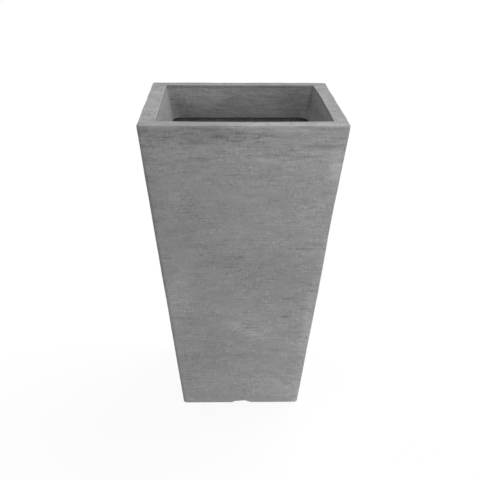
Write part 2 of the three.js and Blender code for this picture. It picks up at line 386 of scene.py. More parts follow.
def added(name: str, data: bpy.types.ID) -> bpy.types.Object:
    """Makes an object of a mesh, a lamp or a camera, and adds it to the scene.

    Args:
        name: The object's name.
        data: What it is made of.

    Returns:
        The object.
    """
    made = bpy.data.objects.new(name, data)
    bpy.context.scene.collection.objects.link(made)
    return made


def cleared(block: bpy.types.Material | bpy.types.World) -> bpy.types.NodeTree:
    """Gives a material or a world an empty node tree.

    Args:
        block: The material or the world.

    Returns:
        The node tree.
    """
    block.use_nodes = True
    block.node_tree.nodes.clear()
    return block.node_tree


def linear(colour: str) -> tuple[float, float, float, float]:
    """Turns an sRGB hex colour into a linear one.

    A channel c becomes c / 12.92 up to 0.04045, and ((c + 0.055) / 1.055) ^ 2.4 above it.

    Args:
        colour: The colour, as #rrggbb.

    Returns:
        Red, green, blue and an alpha of 1.
    """
    parts = [int(colour[i : i + 2], 16) / 255 for i in (1, 3, 5)]
    bent = [p / 12.92 if p <= 0.04045 else ((p + 0.055) / 1.055) ** 2.4 for p in parts]
    return (bent[0], bent[1], bent[2], 1.0)


def add(
    tree: bpy.types.NodeTree, kind: str, inputs: Mapping[str | int, Any] | None = None, **settings: Any
) -> bpy.types.Node:
    """Adds a node with its settings and links.

    Args:
        tree: The node tree.
        kind: The node's type.
        inputs: For each input, by name or number, a value or the socket that feeds it.
        **settings: Settings of the node itself.

    Returns:
        The node.
    """
    made = tree.nodes.new(kind)
    for name, value in settings.items():
        setattr(made, name, value)
    for key, value in (inputs or {}).items():
        if isinstance(value, bpy.types.NodeSocket):
            tree.links.new(value, made.inputs[key])
        else:
            made.inputs[key].default_value = value
    return made


def grain(
    tree: bpy.types.NodeTree, size: tuple[float, float, float], detail: float = 2.0, rough: float = 0.5,
    turn: tuple[float, float, float] = (0.0, 0.0, 0.0), warp: float = 0.0, lay: bool = False,
) -> bpy.types.NodeSocket:
    """Adds noise in the piece's own coordinates, or along the lay of its brush strokes.

    Args:
        tree: The node tree.
        size: Size of a patch of the noise along X, Y and Z, in millimetres.
        detail: Octaves.
        rough: Strength of each octave next to the one before.
        turn: Rotation of the pattern, in radians.
        warp: How much the noise is bent by itself.
        lay: Whether it follows the lay attribute.

    Returns:
        The socket with values about 0.5.
    """
    if lay:
        place = add(tree, "ShaderNodeAttribute", attribute_name="lay").outputs["Vector"]
    else:
        place = add(tree, "ShaderNodeTexCoord").outputs["Object"]
    scale = tuple(1 / (length * MM) for length in size)
    turned = add(tree, "ShaderNodeMapping", {"Vector": place, "Rotation": turn}, vector_type="POINT")
    scaled = add(tree, "ShaderNodeMapping", {"Vector": turned.outputs[0], "Scale": scale})
    noise = add(
        tree, "ShaderNodeTexNoise",
        {"Vector": scaled.outputs[0], "Scale": 1.0, "Detail": detail, "Roughness": rough, "Distortion": warp},
    )
    return noise.outputs["Fac"]


def weighted(
    tree: bpy.types.NodeTree, parts: Sequence[tuple[bpy.types.NodeSocket, float]], middle: float = 0.5
) -> bpy.types.NodeSocket:
    """Adds noises together: middle + the sum of weight * (noise - 0.5).

    Args:
        tree: The node tree.
        parts: Each noise, about 0.5, with its weight.
        middle: Value where every noise is 0.5.

    Returns:
        The socket with the sum.
    """
    total: Any = middle - sum(weight for _, weight in parts) / 2
    for noise, weight in parts:
        step = add(tree, "ShaderNodeMath", {0: noise, 1: weight, 2: total}, operation="MULTIPLY_ADD")
        total = step.outputs[0]
    return total


def ramp(
    tree: bpy.types.NodeTree, value: bpy.types.NodeSocket, stops: Sequence[tuple[float, str]]
) -> bpy.types.NodeSocket:
    """Turns a value into a colour.

    Args:
        tree: The node tree.
        value: The value.
        stops: Values in rising order, each with its hex colour.

    Returns:
        The socket with the colour.
    """
    made = add(tree, "ShaderNodeValToRGB", {"Fac": value})
    band = made.color_ramp
    while len(band.elements) < len(stops):
        band.elements.new(1.0)
    for element, (place, colour) in zip(band.elements, stops):
        element.position = place
        element.color = linear(colour)
    return made.outputs["Color"]


@dataclass(frozen=True)
class Finish:
    """A finish, which the classes below fill in.

    Attributes:
        name: The material's name.
        roughness: The shader's roughness.
        ior: Index of refraction.
        specular: The shader's specular level, where 0.5 leaves the reflection as the IOR gives it.
        shades: Tones with their colours, from dark to pale.
        relief: Depth of the relief, for a height of 1.
        relief_share: Share of the relief that shows.
    """

    name: str = "finish"
    roughness: float = 0.6
    ior: float = 1.5
    specular: float = 0.5
    shades: tuple[tuple[float, str], ...] = ()
    relief: float = 0.0
    relief_share: float = 0.6

    def material(self) -> bpy.types.Material:
        """Makes the finish a material.

        Returns:
            The material.
        """
        made = bpy.data.materials.new(self.name)
        tree = cleared(made)
        shader = add(
            tree, "ShaderNodeBsdfPrincipled",
            {"IOR": self.ior, "Roughness": self.roughness, "Specular IOR Level": self.specular},
        )
        add(tree, "ShaderNodeOutputMaterial", {"Surface": shader.outputs[0]})
        self.paint(tree, shader)
        return made

    def paint(self, tree: bpy.types.NodeTree, shader: bpy.types.Node) -> None:
        """Feeds the shader with the finish's own pattern."""
        raise NotImplementedError

    def coat(
        self, tree: bpy.types.NodeTree, shader: bpy.types.Node, tone: bpy.types.NodeSocket,
        height: bpy.types.NodeSocket,
    ) -> None:
        """Feeds the shader's colour from a tone and its normal from a height.

        Args:
            tree: The node tree.
            shader: The shader.
            tone: The tone, about 0.5.
            height: The height, about 0.5.
        """
        tree.links.new(ramp(tree, tone, self.shades), shader.inputs["Base Color"])
        depth = {"Height": height, "Distance": self.relief, "Strength": self.relief_share}
        bump = add(tree, "ShaderNodeBump", depth)
        tree.links.new(bump.outputs[0], shader.inputs["Normal"])


@dataclass(frozen=True)
class Mark:
    """A soft-edged patch of the gelcoat that is darker or paler than the rest.

    Attributes:
        place: Its middle, in millimetres.
        size: Half its width, depth and height, in millimetres, out to where its strength is gone.
        strength: How much it adds to the tone.
        turn: Degrees that it leans, anticlockwise seen from the front.
        broken: How much the brush strokes break it up, 0 to 1.
        tilt: Degrees that its top leans towards the front.
    """

    place: tuple[float, float, float]
    size: tuple[float, float, float]
    strength: float
    turn: float = 0.0
    broken: float = 0.6
    tilt: float = 0.0


@dataclass(frozen=True)
class BrushedGelcoat(Finish):
    """Cement-grey gelcoat, brushed sideways while it set.

    The brush leaves short level strokes with longer ones among them, thin dark lines in clusters, and
    faint upright ones where it was lifted. Some areas were brushed out smoother than others. The pigment
    lies in clouds, and drags into wavy dark streaks under the rim. It is matte: the strokes scatter the
    light. Edges are paler, partly worn and partly a painted highlight. Real bristle marks are under
    1 mm high. They are drawn about 2 mm high, because finer ones don't show in the render.

    Attributes:
        wear_and_highlight: How much paler the edges are, from wear and from painted highlight.
        rim_height: Height of the rim.
        patch_edge: Values of the noise between which a brushed-out patch passes into the rest.
        fineness: Strength of the fine strokes in such a patch and outside it.
        cluster_edge: Values of the same noise between which a cluster of lines starts.
        clustered: Strength of the lines outside a cluster and in it.
        line_edge: Values of the lines' noise between which a line passes into the rest.
        lined: Tone of a line and of the rest.
        drag_span: Depths under the rim between which the dragged streaks grow.
        dragged: Strength of the streaks below that and above it.
        dull_span: Heights of the relief between which the roughness changes.
        dulled: What the roughness gains in the hollows and on the tops.
        marks: The listed marks: patches, streaks and ticks of tone, and painted shade and painted light.
    """

    name: str = "cement-grey brushed gelcoat"
    roughness: float = 0.82
    specular: float = 0.3
    shades: tuple[tuple[float, str], ...] = ((0.0, "#636363"), (0.5, "#919191"), (1.0, "#bcbcbc"))
    relief: float = 0.5 * MM
    # Paler edges: wear, and a painted highlight.
    wear_and_highlight: float = 0.1
    rim_height: float = 657 * MM
    patch_edge: tuple[float, float] = (0.38, 0.62)
    fineness: tuple[float, float] = (0.55, 1.3)
    cluster_edge: tuple[float, float] = (0.45, 0.62)
    clustered: tuple[float, float] = (0.15, 1.0)
    line_edge: tuple[float, float] = (0.28, 0.42)
    lined: tuple[float, float] = (-0.24, 0.0)
    drag_span: tuple[float, float] = (150 * MM, 40 * MM)
    dragged: tuple[float, float] = (0.1, 0.5)
    dull_span: tuple[float, float] = (0.2, 0.8)
    dulled: tuple[float, float] = (0.08, -0.1)
    marks: tuple[Mark, ...] = ()

    def mark(
        self, tree: bpy.types.NodeTree, mark: Mark, strokes: bpy.types.NodeSocket, tone: bpy.types.NodeSocket
    ) -> bpy.types.NodeSocket:
        """Adds a mark to the tone.

        It adds strength * s * (1 - broken + 2 * broken * strokes), where s falls smoothly from 1 at the
        mark's middle to 0 at a distance of its size.

        Args:
            tree: The node tree.
            mark: The mark.
            strokes: The noise that breaks it up.
            tone: The tone so far.

        Returns:
            The tone with the mark.
        """
        place = add(tree, "ShaderNodeTexCoord").outputs["Object"]
        lean = (math.radians(mark.tilt), math.radians(-mark.turn), 0.0)
        middle, size = (tuple(length * MM for length in lengths) for lengths in (mark.place, mark.size))
        local = add(
            tree, "ShaderNodeMapping",
            {"Vector": place, "Location": middle, "Rotation": lean, "Scale": size}, vector_type="TEXTURE",
        )
        away = add(tree, "ShaderNodeVectorMath", {0: local.outputs[0]}, operation="LENGTH")
        near = add(
            tree, "ShaderNodeMapRange",
            {"Value": away.outputs["Value"], "From Min": 0.0, "From Max": 1.0, "To Min": 1.0, "To Max": 0.0},
            interpolation_type="SMOOTHERSTEP",
        )
        share = add(
            tree, "ShaderNodeMath",
            {0: strokes, 1: 2 * mark.broken * mark.strength, 2: mark.strength * (1 - mark.broken)},
            operation="MULTIPLY_ADD",
        )
        return self.plus(tree, near.outputs[0], share.outputs[0], tone)

    @staticmethod
    def plus(tree: bpy.types.NodeTree, value: Any, factor: Any, tone: Any) -> bpy.types.NodeSocket:
        """Returns the tone plus value * factor, each a socket or a number."""
        inputs = {0: value, 1: factor, 2: tone}
        return add(tree, "ShaderNodeMath", inputs, operation="MULTIPLY_ADD").outputs[0]

    @staticmethod
    def between(
        tree: bpy.types.NodeTree, value: bpy.types.NodeSocket, span: Sequence[float], levels: Sequence[float]
    ) -> bpy.types.NodeSocket:
        """Returns the first level before the span, the second past it, and a smooth step across it."""
        step = dict(zip(("Value", "From Min", "From Max", "To Min", "To Max"), (value, *span, *levels)))
        return add(tree, "ShaderNodeMapRange", step, interpolation_type="SMOOTHSTEP").outputs[0]

    def paint(self, tree: bpy.types.NodeTree, shader: bpy.types.Node) -> None:
        """Feeds the shader with strokes, clouds, streaks, marks, and edges made paler by wear and painted
        highlight.

        Args:
            tree: The node tree.
            shader: The shader.
        """
        short = grain(tree, (8, 8, 2.3), 2.0, 0.55, lay=True)
        medium = grain(tree, (22, 22, 3.4), 2.0, 0.55, lay=True)
        long = grain(tree, (75, 75, 5), 2.0, 0.55, lay=True)
        lifted = grain(tree, (3, 3, 12), 1.0, 0.5, lay=True)
        lines = grain(tree, (46, 46, 1.8), 1.0, 0.5, lay=True)
        speckle = grain(tree, (3, 3, 3), 2.0, 0.6)
        smudges = grain(tree, (32, 32, 18), 3.0, 0.6)
        clouds = grain(tree, (95, 95, 70), 2.0, 0.5)
        patches = grain(tree, (44, 44, 24), 2.0, 0.5)
        streaks = grain(tree, (34, 34, 5.5), 3.0, 0.6, warp=0.7)

        tone = weighted(tree, [(medium, 0.25), (long, 0.13), (smudges, 0.25), (clouds, 0.12)])
        fine = weighted(tree, [(short, 0.33), (lifted, 0.26), (speckle, 0.38)], middle=0.0)
        tone = self.plus(tree, fine, self.between(tree, patches, self.patch_edge, self.fineness), tone)
        clusters = self.between(tree, patches, self.cluster_edge, self.clustered)
        tone = self.plus(tree, self.between(tree, lines, self.line_edge, self.lined), clusters, tone)

        place = add(tree, "ShaderNodeTexCoord").outputs["Object"]
        height = add(tree, "ShaderNodeSeparateXYZ", {0: place}).outputs["Z"]
        drag_heights = [self.rim_height - depth for depth in self.drag_span]
        drag = self.between(tree, height, drag_heights, self.dragged)
        wavy = add(tree, "ShaderNodeMath", {0: streaks, 1: 0.5}, operation="SUBTRACT").outputs[0]
        tone = self.plus(tree, wavy, drag, tone)
        # Marks add pigment tone, painted shade and painted light.
        for mark in self.marks:
            tone = self.mark(tree, mark, medium, tone)
        # Edges are paler: partly wear, partly a painted highlight.
        edge = add(tree, "ShaderNodeAttribute", attribute_name="edge").outputs["Fac"]
        tone = self.plus(tree, edge, self.wear_and_highlight, tone)

        relief = weighted(tree, [(short, 0.7), (medium, 0.5), (speckle, 0.4), (lifted, 0.2), (lines, 0.3)])
        self.coat(tree, shader, tone, relief)
        dull = self.between(tree, relief, self.dull_span, [self.roughness + more for more in self.dulled])
        tree.links.new(dull, shader.inputs["Roughness"])


@dataclass(frozen=True)
class RawLaminate(Finish):
    """Chopped-strand laminate as the roller left it, in the gelcoat's own grey.

    Strands of glass, up to 50 mm long and under 1 mm wide, lie every way under a thin, uneven coat of
    resin, which has pooled in places. The strands are drawn 1.3 mm wide, because thinner ones don't show
    in the render, and 30 mm long, since none lies whole at the surface.
    """

    name: str = "raw chopped-strand laminate"
    roughness: float = 0.5
    shades: tuple[tuple[float, str], ...] = ((0.15, "#6a6a69"), (0.5, "#868685"), (0.9, "#a3a3a1"))
    relief: float = 1.2 * MM
    relief_share: float = 0.8

    def paint(self, tree: bpy.types.NodeTree, shader: bpy.types.Node) -> None:
        """Feeds the shader with strands and pooled resin.

        Args:
            tree: The node tree.
            shader: The shader.
        """
        turns = ((0.0, 0.62, 0.79), (0.0, -0.62, -0.79), (0.3, 0.2, 1.9), (0.5, 1.1, 0.3))
        strands = [(grain(tree, (30, 1.3, 1.3), 1.0, 0.5, turn), 0.55) for turn in turns]
        pools = grain(tree, (22, 22, 22), 3.0, 0.6)
        tone, height = (weighted(tree, [*strands, (pools, weight)]) for weight in (0.7, 1.2))
        self.coat(tree, shader, tone, height)


@dataclass(frozen=True)
class BlackRubber(Finish):
    """Moulded black rubber: matte, with a faint bloom.

    The mould's grain is about 0.3 mm. It is drawn at 0.9 mm, because a finer one doesn't show.
    """

    name: str = "moulded black rubber"
    roughness: float = 0.68
    shades: tuple[tuple[float, str], ...] = ((0.2, "#191919"), (0.85, "#2a2a29"))
    relief: float = 0.15 * MM

    def paint(self, tree: bpy.types.NodeTree, shader: bpy.types.Node) -> None:
        """Feeds the shader with bloom and the mould's grain.

        Args:
            tree: The node tree.
            shader: The shader.
        """
        bloom = grain(tree, (9, 9, 9), 3.0, 0.6)
        fine = grain(tree, (0.9, 0.9, 0.9), 1.0, 0.5)
        self.coat(tree, shader, weighted(tree, [(bloom, 0.8), (fine, 0.4)]), fine)


@dataclass(frozen=True)
class GrainedPlastic(Finish):
    """Charcoal polypropylene, moulded in a spark-eroded mould and scuffed in use.

    The spark grain is about 0.4 mm. It is drawn at 1.1 mm, because a finer one doesn't show.
    """

    name: str = "charcoal grained polypropylene"
    roughness: float = 0.55
    ior: float = 1.49
    shades: tuple[tuple[float, str], ...] = ((0.2, "#282929"), (0.85, "#3a3b3b"))
    relief: float = 0.2 * MM
    relief_share: float = 0.7

    def paint(self, tree: bpy.types.NodeTree, shader: bpy.types.Node) -> None:
        """Feeds the shader with scuffs and the mould's grain.

        Args:
            tree: The node tree.
            shader: The shader.
        """
        spark = grain(tree, (1.1, 1.1, 1.1), 2.0, 0.6)
        scuffs = grain(tree, (60, 9, 30), 3.0, 0.6, (0.0, 0.0, 0.5))
        self.coat(tree, shader, weighted(tree, [(spark, 0.5), (scuffs, 0.9)]), spark)


# --------------------------------------------------------------------------------------------------
# Sub-assemblies
# --------------------------------------------------------------------------------------------------


@dataclass(frozen=True)
class Meshing:
    """How finely a piece is meshed.

    Attributes:
        spacing: Longest step along its section.
        side: Steps along each side.
        corner: Steps round each corner.
    """

    spacing: float
    side: int
    corner: int


@dataclass(frozen=True)
class Walls:
    """The planes that the pieces share.

    Attributes:
        height: Ground to the top of the rim.
        rim_half: Half the width across the rim.
        foot_half: Half the width across the foot.
        wall: Laminate thickness.
        rim_flat: Width of the flat rim.
        collar_slope: Lean of the collar's walls, in radians.
        mouth_shift: How far the mouth and the collar are off the middle, towards +X.
        mouth_nip: How far their right-hand side is drawn in at the back.
        nip_span: Where along Y that starts and ends.
        mouth_sag: How much wider the front of the rim is at its ends than in the middle.
    """

    height: float = 657 * MM
    rim_half: float = 200 * MM
    foot_half: float = 128 * MM
    wall: float = 5 * MM
    rim_flat: float = 30.6 * MM
    collar_slope: float = math.radians(12.3)
    mouth_shift: float = 2.6 * MM
    mouth_nip: float = 3.4 * MM
    nip_span: tuple[float, float] = (40 * MM, 165 * MM)
    mouth_sag: float = 6 * MM

    @property
    def lean(self) -> float:
        """Lean of the outer walls, in radians."""
        return math.atan2(self.rim_half - self.foot_half, self.height)

    def outer(self, z: float) -> float:
        """Returns half the outside width at a height."""
        return self.foot_half + z * math.tan(self.lean)

    def inner(self, z: float) -> float:
        """Returns half the inside width at a height."""
        return self.outer(z) - self.wall / math.cos(self.lean)

    def mouth(self, depth: float) -> float:
        """Returns half the width of the mouth and the collar at a depth below the rim's top."""
        return self.rim_half - self.rim_flat - depth * math.tan(self.collar_slope)

    def mouth_move(self, points: Array, sagging: Array | float) -> Array:
        """Returns how far points of the mouth and the collar are moved along X and Y.

        The move along X is shift - nip * smooth(t) * u^4, with t the share of the nip's span along Y and
        u the share of the way to the right-hand side. The move along Y is sag * v^2 * w^4, with v the
        share of the way to either side and w the share of the way to the front.

        Args:
            points: The points before the move.
            sagging: Share of the sag that they take.

        Returns:
            The move, with zero along Z.
        """
        across, along = points[..., 0] / self.mouth(0), points[..., 1] / self.mouth(0)
        start, end = self.nip_span
        nipped = smooth((points[..., 1] - start) / (end - start)) * np.clip(across, 0, 1) ** 4
        sagged = across**2 * np.clip(-along, 0, 1) ** 4 * sagging
        x, y = self.mouth_shift - self.mouth_nip * nipped, self.mouth_sag * sagged
        return np.stack([x, y, np.zeros_like(x)], axis=-1)


class Piece:
    """What every piece shares: how it rides on its body and stands for its nodes."""

    @staticmethod
    def settle(piece: bpy.types.Object, body: str, slot: str, *nodes: str) -> bpy.types.Object:
        """Fastens a finished piece to its body, hides the nodes that it stands for, and reports it.

        Args:
            piece: The piece.
            body: The body that it rides on.
            slot: Its material slot. Not used.
            *nodes: The nodes that it stands for.

        Returns:
            The piece.
        """
        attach(piece, body)
        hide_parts(*nodes)
        log.info("%s: %d faces on %s for %s", piece.name, len(piece.data.polygons), body, ", ".join(nodes))
        return piece


@dataclass(frozen=True)
class ToneAndPaintedLight:
    """Where the gelcoat came out darker or paler, and where shade and light are painted onto it.

    Attributes:
        walls: The shared planes.
        depth: How deep a mark on the front face reaches, in millimetres.
    """

    walls: Walls
    depth: float = 60.0

    def front(
        self, x: float, z: float, wide: float, high: float, strength: float, turn: float = 0.0,
        broken: float = 0.6,
    ) -> Mark:
        """Places a mark on the front face. Lengths are millimetres.

        Args:
            x: Its place from the middle of the face.
            z: Its height above the ground.
            wide: Half its width.
            high: Half its height.
            strength: How much it adds to the tone.
            turn: Degrees that it leans.
            broken: How much the brush strokes break it up.

        Returns:
            The mark.
        """
        place = (x, -self.walls.outer(z * MM) / MM, z)
        return Mark(place, (wide, self.depth, high), strength, turn, broken, math.degrees(self.walls.lean))

    def marks(self) -> tuple[Mark, ...]:
        """Returns every mark."""
        return self.pigment_and_painted_light() + self.streaks() + self.patches() + self.ticks()

    def pigment_and_painted_light(self) -> tuple[Mark, ...]:
        """Lists the broad patches of pigment, the rim's paler front and darker back, painted light and shade
        on the front face, painted light high on the collar's back wall, and painted shade on its right wall,
        low on it and in its corners.

        Returns:
            The marks.
        """
        return (
            # These three: left side darker, right side paler, partly pigment and partly painted shade and
            # light from a lamp on the right.
            self.front(-190, 470, 330, 340, -0.14, broken=0.1),
            self.front(195, 530, 130, 330, 0.09, broken=0.2),
            self.front(-195, 590, 50, 260, -0.1, broken=0.3),
            # Patches of pigment.
            self.front(55, 335, 180, 100, -0.09, broken=0.2),
            self.front(-128, 300, 44, 100, 0.1, broken=0.3),
            # Bottom paler: painted light bounced from the floor.
            self.front(-30, 0, 380, 140, 0.2, broken=0.1),
            self.front(-30, 0, 380, 36, 0.1, broken=0.1),
            # Left corner darker: painted shade. Right corner paler: painted highlight.
            self.front(-163, 328, 9, 900, -0.2, 6.25, 0.3),
            self.front(148, 240, 18, 420, 0.08, -6.25, 0.3),
            # Rim's front strip paler, back strip darker.
            Mark((50, -188, 657), (340, 30, 10), 0.16, broken=0.1),
            Mark((0.0, 186, 657), (400, 40, 10), -0.12, broken=0.2),
            # Upper left of the collar's back wall paler: painted light bounced from its lit left wall.
            Mark((-60, 166, 640), (170, 24, 34), 0.1, broken=0.3),
            Mark((-84, 164, 631), (110, 24, 34), 0.1, broken=0.4),
            # Left wall paler near the back.
            Mark((-162, 140, 625), (24, 60, 60), 0.08, broken=0.2),
            # Painted shade: on the collar's right wall, low on its back wall and in its corners.
            Mark((165, 0.0, 626), (24, 300, 36), -0.08, broken=0.2),
            Mark((0.0, 152, 584), (300, 24, 22), -0.09, broken=0.4),
            Mark((-130, 155, 600), (60, 24, 50), -0.12, broken=0.3),
            Mark((132, 160, 610), (70, 24, 90), -0.18, broken=0.3),
            Mark((157, 158, 605), (7, 20, 80), -0.2, -12.0, 0.0, -12.3),
        )

    def streaks(self) -> tuple[Mark, ...]:
        """Lists the wavy streaks under the rim.

        Returns:
            The marks.
        """
        rows = (
            (-75, 640, 180, 30, -0.2, 0.0, 0.3),
            (-79, 651, 60, 9, -0.13, -4),
            (-37, 631, 48, 8, -0.17, -14),
            (-95, 620, 42, 15, -0.12),
            (-84, 591, 44, 6, -0.14, -3),
            (-188, 646, 22, 12, -0.14),
            (40, 637, 60, 6, -0.12, -6),
            (29, 615, 46, 6, -0.11, -3),
            (150, 616, 66, 8, -0.14, 2),
            (172, 633, 26, 6, -0.11),
            (118, 594, 50, 6, -0.07),
            (5, 648, 56, 7, 0.13, -4),
            (96, 646, 66, 10, 0.12, -3),
        )
        return tuple(self.front(*row) for row in rows)

    def patches(self) -> tuple[Mark, ...]:
        """Lists the smaller soft patches.

        Returns:
            The marks.
        """
        rows = (
            (178, 572, 26, 60, 0.13),
            (41, 588, 30, 8, 0.1),
            (-134, 511, 26, 20, 0.07),
            (-100, 402, 66, 8, -0.1),
            (-118, 438, 60, 12, -0.08, -4),
            (-37, 360, 70, 14, -0.08),
            (-41, 285, 30, 34, -0.06),
            (34, 187, 42, 30, 0.1, 5, 0.3),
            (-12, 212, 38, 30, 0.07, -30, 0.3),
            (10, 194, 40, 28, 0.06, -20, 0.3),
            (54, 205, 28, 36, 0.06, 40, 0.3),
            (-65, 165, 130, 26, -0.06, 0.0, 0.3),
            (138, 205, 24, 60, 0.08),
            (141, 258, 22, 60, 0.1),
            (-96, 226, 62, 30, -0.05),
            (-95, 130, 90, 12, -0.09),
            (-20, 131, 60, 12, -0.08),
            (67, 147, 36, 7, -0.08),
        )
        return tuple(self.front(*row) for row in rows)

    def ticks(self) -> tuple[Mark, ...]:
        """Lists the small dark ticks, and the pale upright scratches among them.

        Returns:
            The marks.
        """
        rows = (
            (92, 232.5, 20, 3.6, -0.36, -4, 0.2),
            (100, 278.5, 44, 4, -0.17),
            (107, 83, 17, 4.5, -0.2, 0.0, 0.3),
            (21, 302, 30, 3.5, -0.14, -5),
            (98, 178, 2.4, 26, 0.1, 0.0, 0.3),
            (99, 125, 2.4, 18, 0.12, 0.0, 0.3),
        )
        return tuple(self.front(*row) for row in rows)


@dataclass(frozen=True)
class Shell(Piece):
    """The tapered laminate shell with its flat rim and its foot flange.

    Attributes:
        walls: The shared planes.
        corner: Radius of the upright outer corners.
        inner_corner: Radius of the corners inside.
        mouth_corner: Radius of the corners of the rim's inner edge.
        rim_thickness: Thickness of the rim.
        rim_land: Height of the steeper band at the rim's outer edge.
        rim_drop: How far the rim's inner edge lies below its outer edge.
        land_flare: How much wider the top of that band is than its bottom, on each side.
        land_fillet: Radius of the bend under it.
        rim_edge: Radius of the rim's outer edge.
        mouth_edge: Radius of the rim's inner edge.
        foot_edge: Radius of the outer edge at the ground.
        flange: Width of the foot flange.
        flange_thickness: Thickness of the foot flange.
        root_fillet: Radius inside, between the rim and the wall.
        flange_fillet: Radius inside, between the wall and the flange.
        flange_edges: Radii of the flange's inner edge, above and below.
        relief_peak: Height of the drain relief at its highest.
        relief_span: Where the relief starts, peaks and ends, from the middle of a side.
        relief_step: Length over which it steps up at its start.
        relief_start: Share of the peak that it steps up to.
        relief_reach: Height on the wall above which the relief no longer shifts it.
        ground_band: Height up to which the underside goes up with it.
        bow: How far the right-hand wall is drawn in at its highest.
        bow_span: Heights between which it is drawn in.
        wave: Waviness of the hand-laid walls.
        brush: Relief of the broad brush strokes.
        mouth_fade: Distance from the mouth over which both fade out.
        ground_fade: Height over which both fade out at the ground.
        slack: How far below the rim's underside a point still counts as the rim's.
        mesh: How finely the shell is meshed.
    """

    walls: Walls
    corner: float = 7 * MM
    inner_corner: float = 9 * MM
    mouth_corner: float = 3 * MM
    rim_thickness: float = 6 * MM
    rim_land: float = 8 * MM
    rim_drop: float = 0.3 * MM
    land_flare: float = 0.4 * MM
    land_fillet: float = 8 * MM
    rim_edge: float = 1.6 * MM
    mouth_edge: float = 2.0 * MM
    foot_edge: float = 5.5 * MM
    flange: float = 30 * MM
    flange_thickness: float = 7 * MM
    root_fillet: float = 4 * MM
    flange_fillet: float = 5 * MM
    flange_edges: tuple[float, float] = (2 * MM, 1.5 * MM)
    relief_peak: float = 4.6 * MM
    relief_span: tuple[float, float, float] = (-17 * MM, 9 * MM, 25 * MM)
    relief_step: float = 2.5 * MM
    relief_start: float = 0.55
    relief_reach: float = 24 * MM
    ground_band: float = 1.6 * MM
    bow: float = 1.6 * MM
    bow_span: tuple[float, float] = (280 * MM, 665 * MM)
    wave: Ripple = Ripple(0.4 * MM, (120 * MM, 120 * MM, 190 * MM), seed=1)
    brush: Ripple = Ripple(0.12 * MM, (90 * MM, 90 * MM, 14 * MM), seed=5, waves=48)
    mouth_fade: float = 9 * MM
    ground_fade: float = 12 * MM
    slack: float = 0.5 * MM
    mesh: Meshing = Meshing(5.4 * MM, side=66, corner=7)

    def section(self) -> Section:
        """Traces the shell's section: up the outside, over the rim, down the inside, in to the flange.

        Returns:
            The section.
        """
        w = self.walls
        under_rim = w.height - self.rim_thickness
        land = w.height - self.rim_land
        flange_half, flange_top = w.foot_half - self.flange, self.flange_thickness
        mouth, mouth_top = w.mouth(self.rim_drop), w.height - self.rim_drop
        above, below = self.flange_edges
        return Section.trace(
            [
                Bend(w.outer(0), 0, self.foot_edge, self.corner),
                Bend(w.outer(land), land, self.land_fillet, self.corner),
                Bend(w.outer(land) + self.land_flare, w.height, self.rim_edge, self.corner),
                Bend(mouth, mouth_top, self.mouth_edge, self.mouth_corner),
                Bend(mouth, under_rim, CRISP, self.mouth_corner, face=Face.RAW),
                Bend(w.inner(under_rim), under_rim, self.root_fillet, self.inner_corner, face=Face.RAW),
                Bend(w.inner(flange_top), flange_top, self.flange_fillet, self.inner_corner, face=Face.RAW),
                Bend(flange_half, flange_top, above, self.inner_corner, face=Face.RAW),
                Bend(flange_half, 0, below, self.inner_corner),
            ],
            self.mesh.spacing,
        )

    def relief(self, along: Array) -> Array:
        """Works out the drain relief's height.

        It steps up at its start, rises evenly to its peak, and falls away smoothly to its end.

        Args:
            along: Distances along a side, from its middle.

        Returns:
            The height at each distance.
        """
        start, peak, end = self.relief_span
        step = smooth((along - start) / self.relief_step)
        share = np.clip((along - start) / (peak - start), 0, 1)
        rise = self.relief_start + (1 - self.relief_start) * share
        fall = smooth((end - along) / (end - peak))
        return self.relief_peak * step * rise * fall

    def points(self, section: Section) -> Array:
        """Works out the shell's points, with the drain reliefs and the unevenness of the walls.

        The reliefs lift the bottom edge at the middle of each side, and the lift fades up the wall. The
        right-hand wall is drawn in by bow * sin(pi * t)^2, with t the share of the bow's span, which
        fades to nothing at the middle of the faces beside it. The rim takes a share of the mouth's
        shift, nip and sag that grows evenly from above the wall's inner face to the mouth. Waviness
        moves the walls inwards only. It leaves the face on the ground flat, and fades out at the mouth,
        where the collar joins.

        Args:
            section: The shell's section.

        Returns:
            The points, one ring a row.
        """
        w = self.walls
        grid = section.carried_round(self.mesh.side, self.mesh.corner)
        x, y, z = grid[..., 0], grid[..., 1], grid[..., 2]
        along = np.where(np.abs(x) > np.abs(y), np.sign(x) * y, -np.sign(y) * x)
        outside = (np.arange(len(grid)) <= np.argmax(section.z)) | (section.z < self.ground_band)
        fade = (1 - smooth(z / self.relief_reach)) * outside[:, None]
        lifted = grid.copy()
        lifted[..., 2] += self.relief(along) * fade
        reach = np.clip(x / section.half[:, None], 0, 1) ** 4 * outside[:, None]
        low, high = self.bow_span
        share = np.clip((z - low) / (high - low), 0, 1)
        lifted[..., 0] -= self.bow * np.sin(math.pi * share) ** 2 * reach
        in_rim = z > w.height - self.rim_thickness - self.slack
        inset = np.clip((w.inner(w.height) - section.half) / (w.inner(w.height) - w.mouth(0)), 0, 1)
        lifted += w.mouth_move(grid, 1.0) * (inset[:, None] * in_rim)[..., None]
        free = smooth((section.half[:, None] - w.mouth(0)) / self.mouth_fade) * in_rim + ~in_rim
        depth = self.wave.at(grid) + self.brush.at(grid) - self.wave.depth - self.brush.depth
        return lifted + normals_of(grid) * (depth * free * smooth(z / self.ground_fade))[..., None]

    def build(self, gelcoat: bpy.types.Material, laminate: bpy.types.Material) -> bpy.types.Object:
        """Builds the shell.

        Args:
            gelcoat: Finish of the outside, the rim and the foot.
            laminate: Finish of the inside.

        Returns:
            The piece.
        """
        section = self.section()
        surface = Surface.from_grid(self.points(section), section.edge, section.face, section.run)
        piece = surface.to_object("shell", [gelcoat, laminate])
        return self.settle(piece, "planter", "gelcoat", "body_shell")


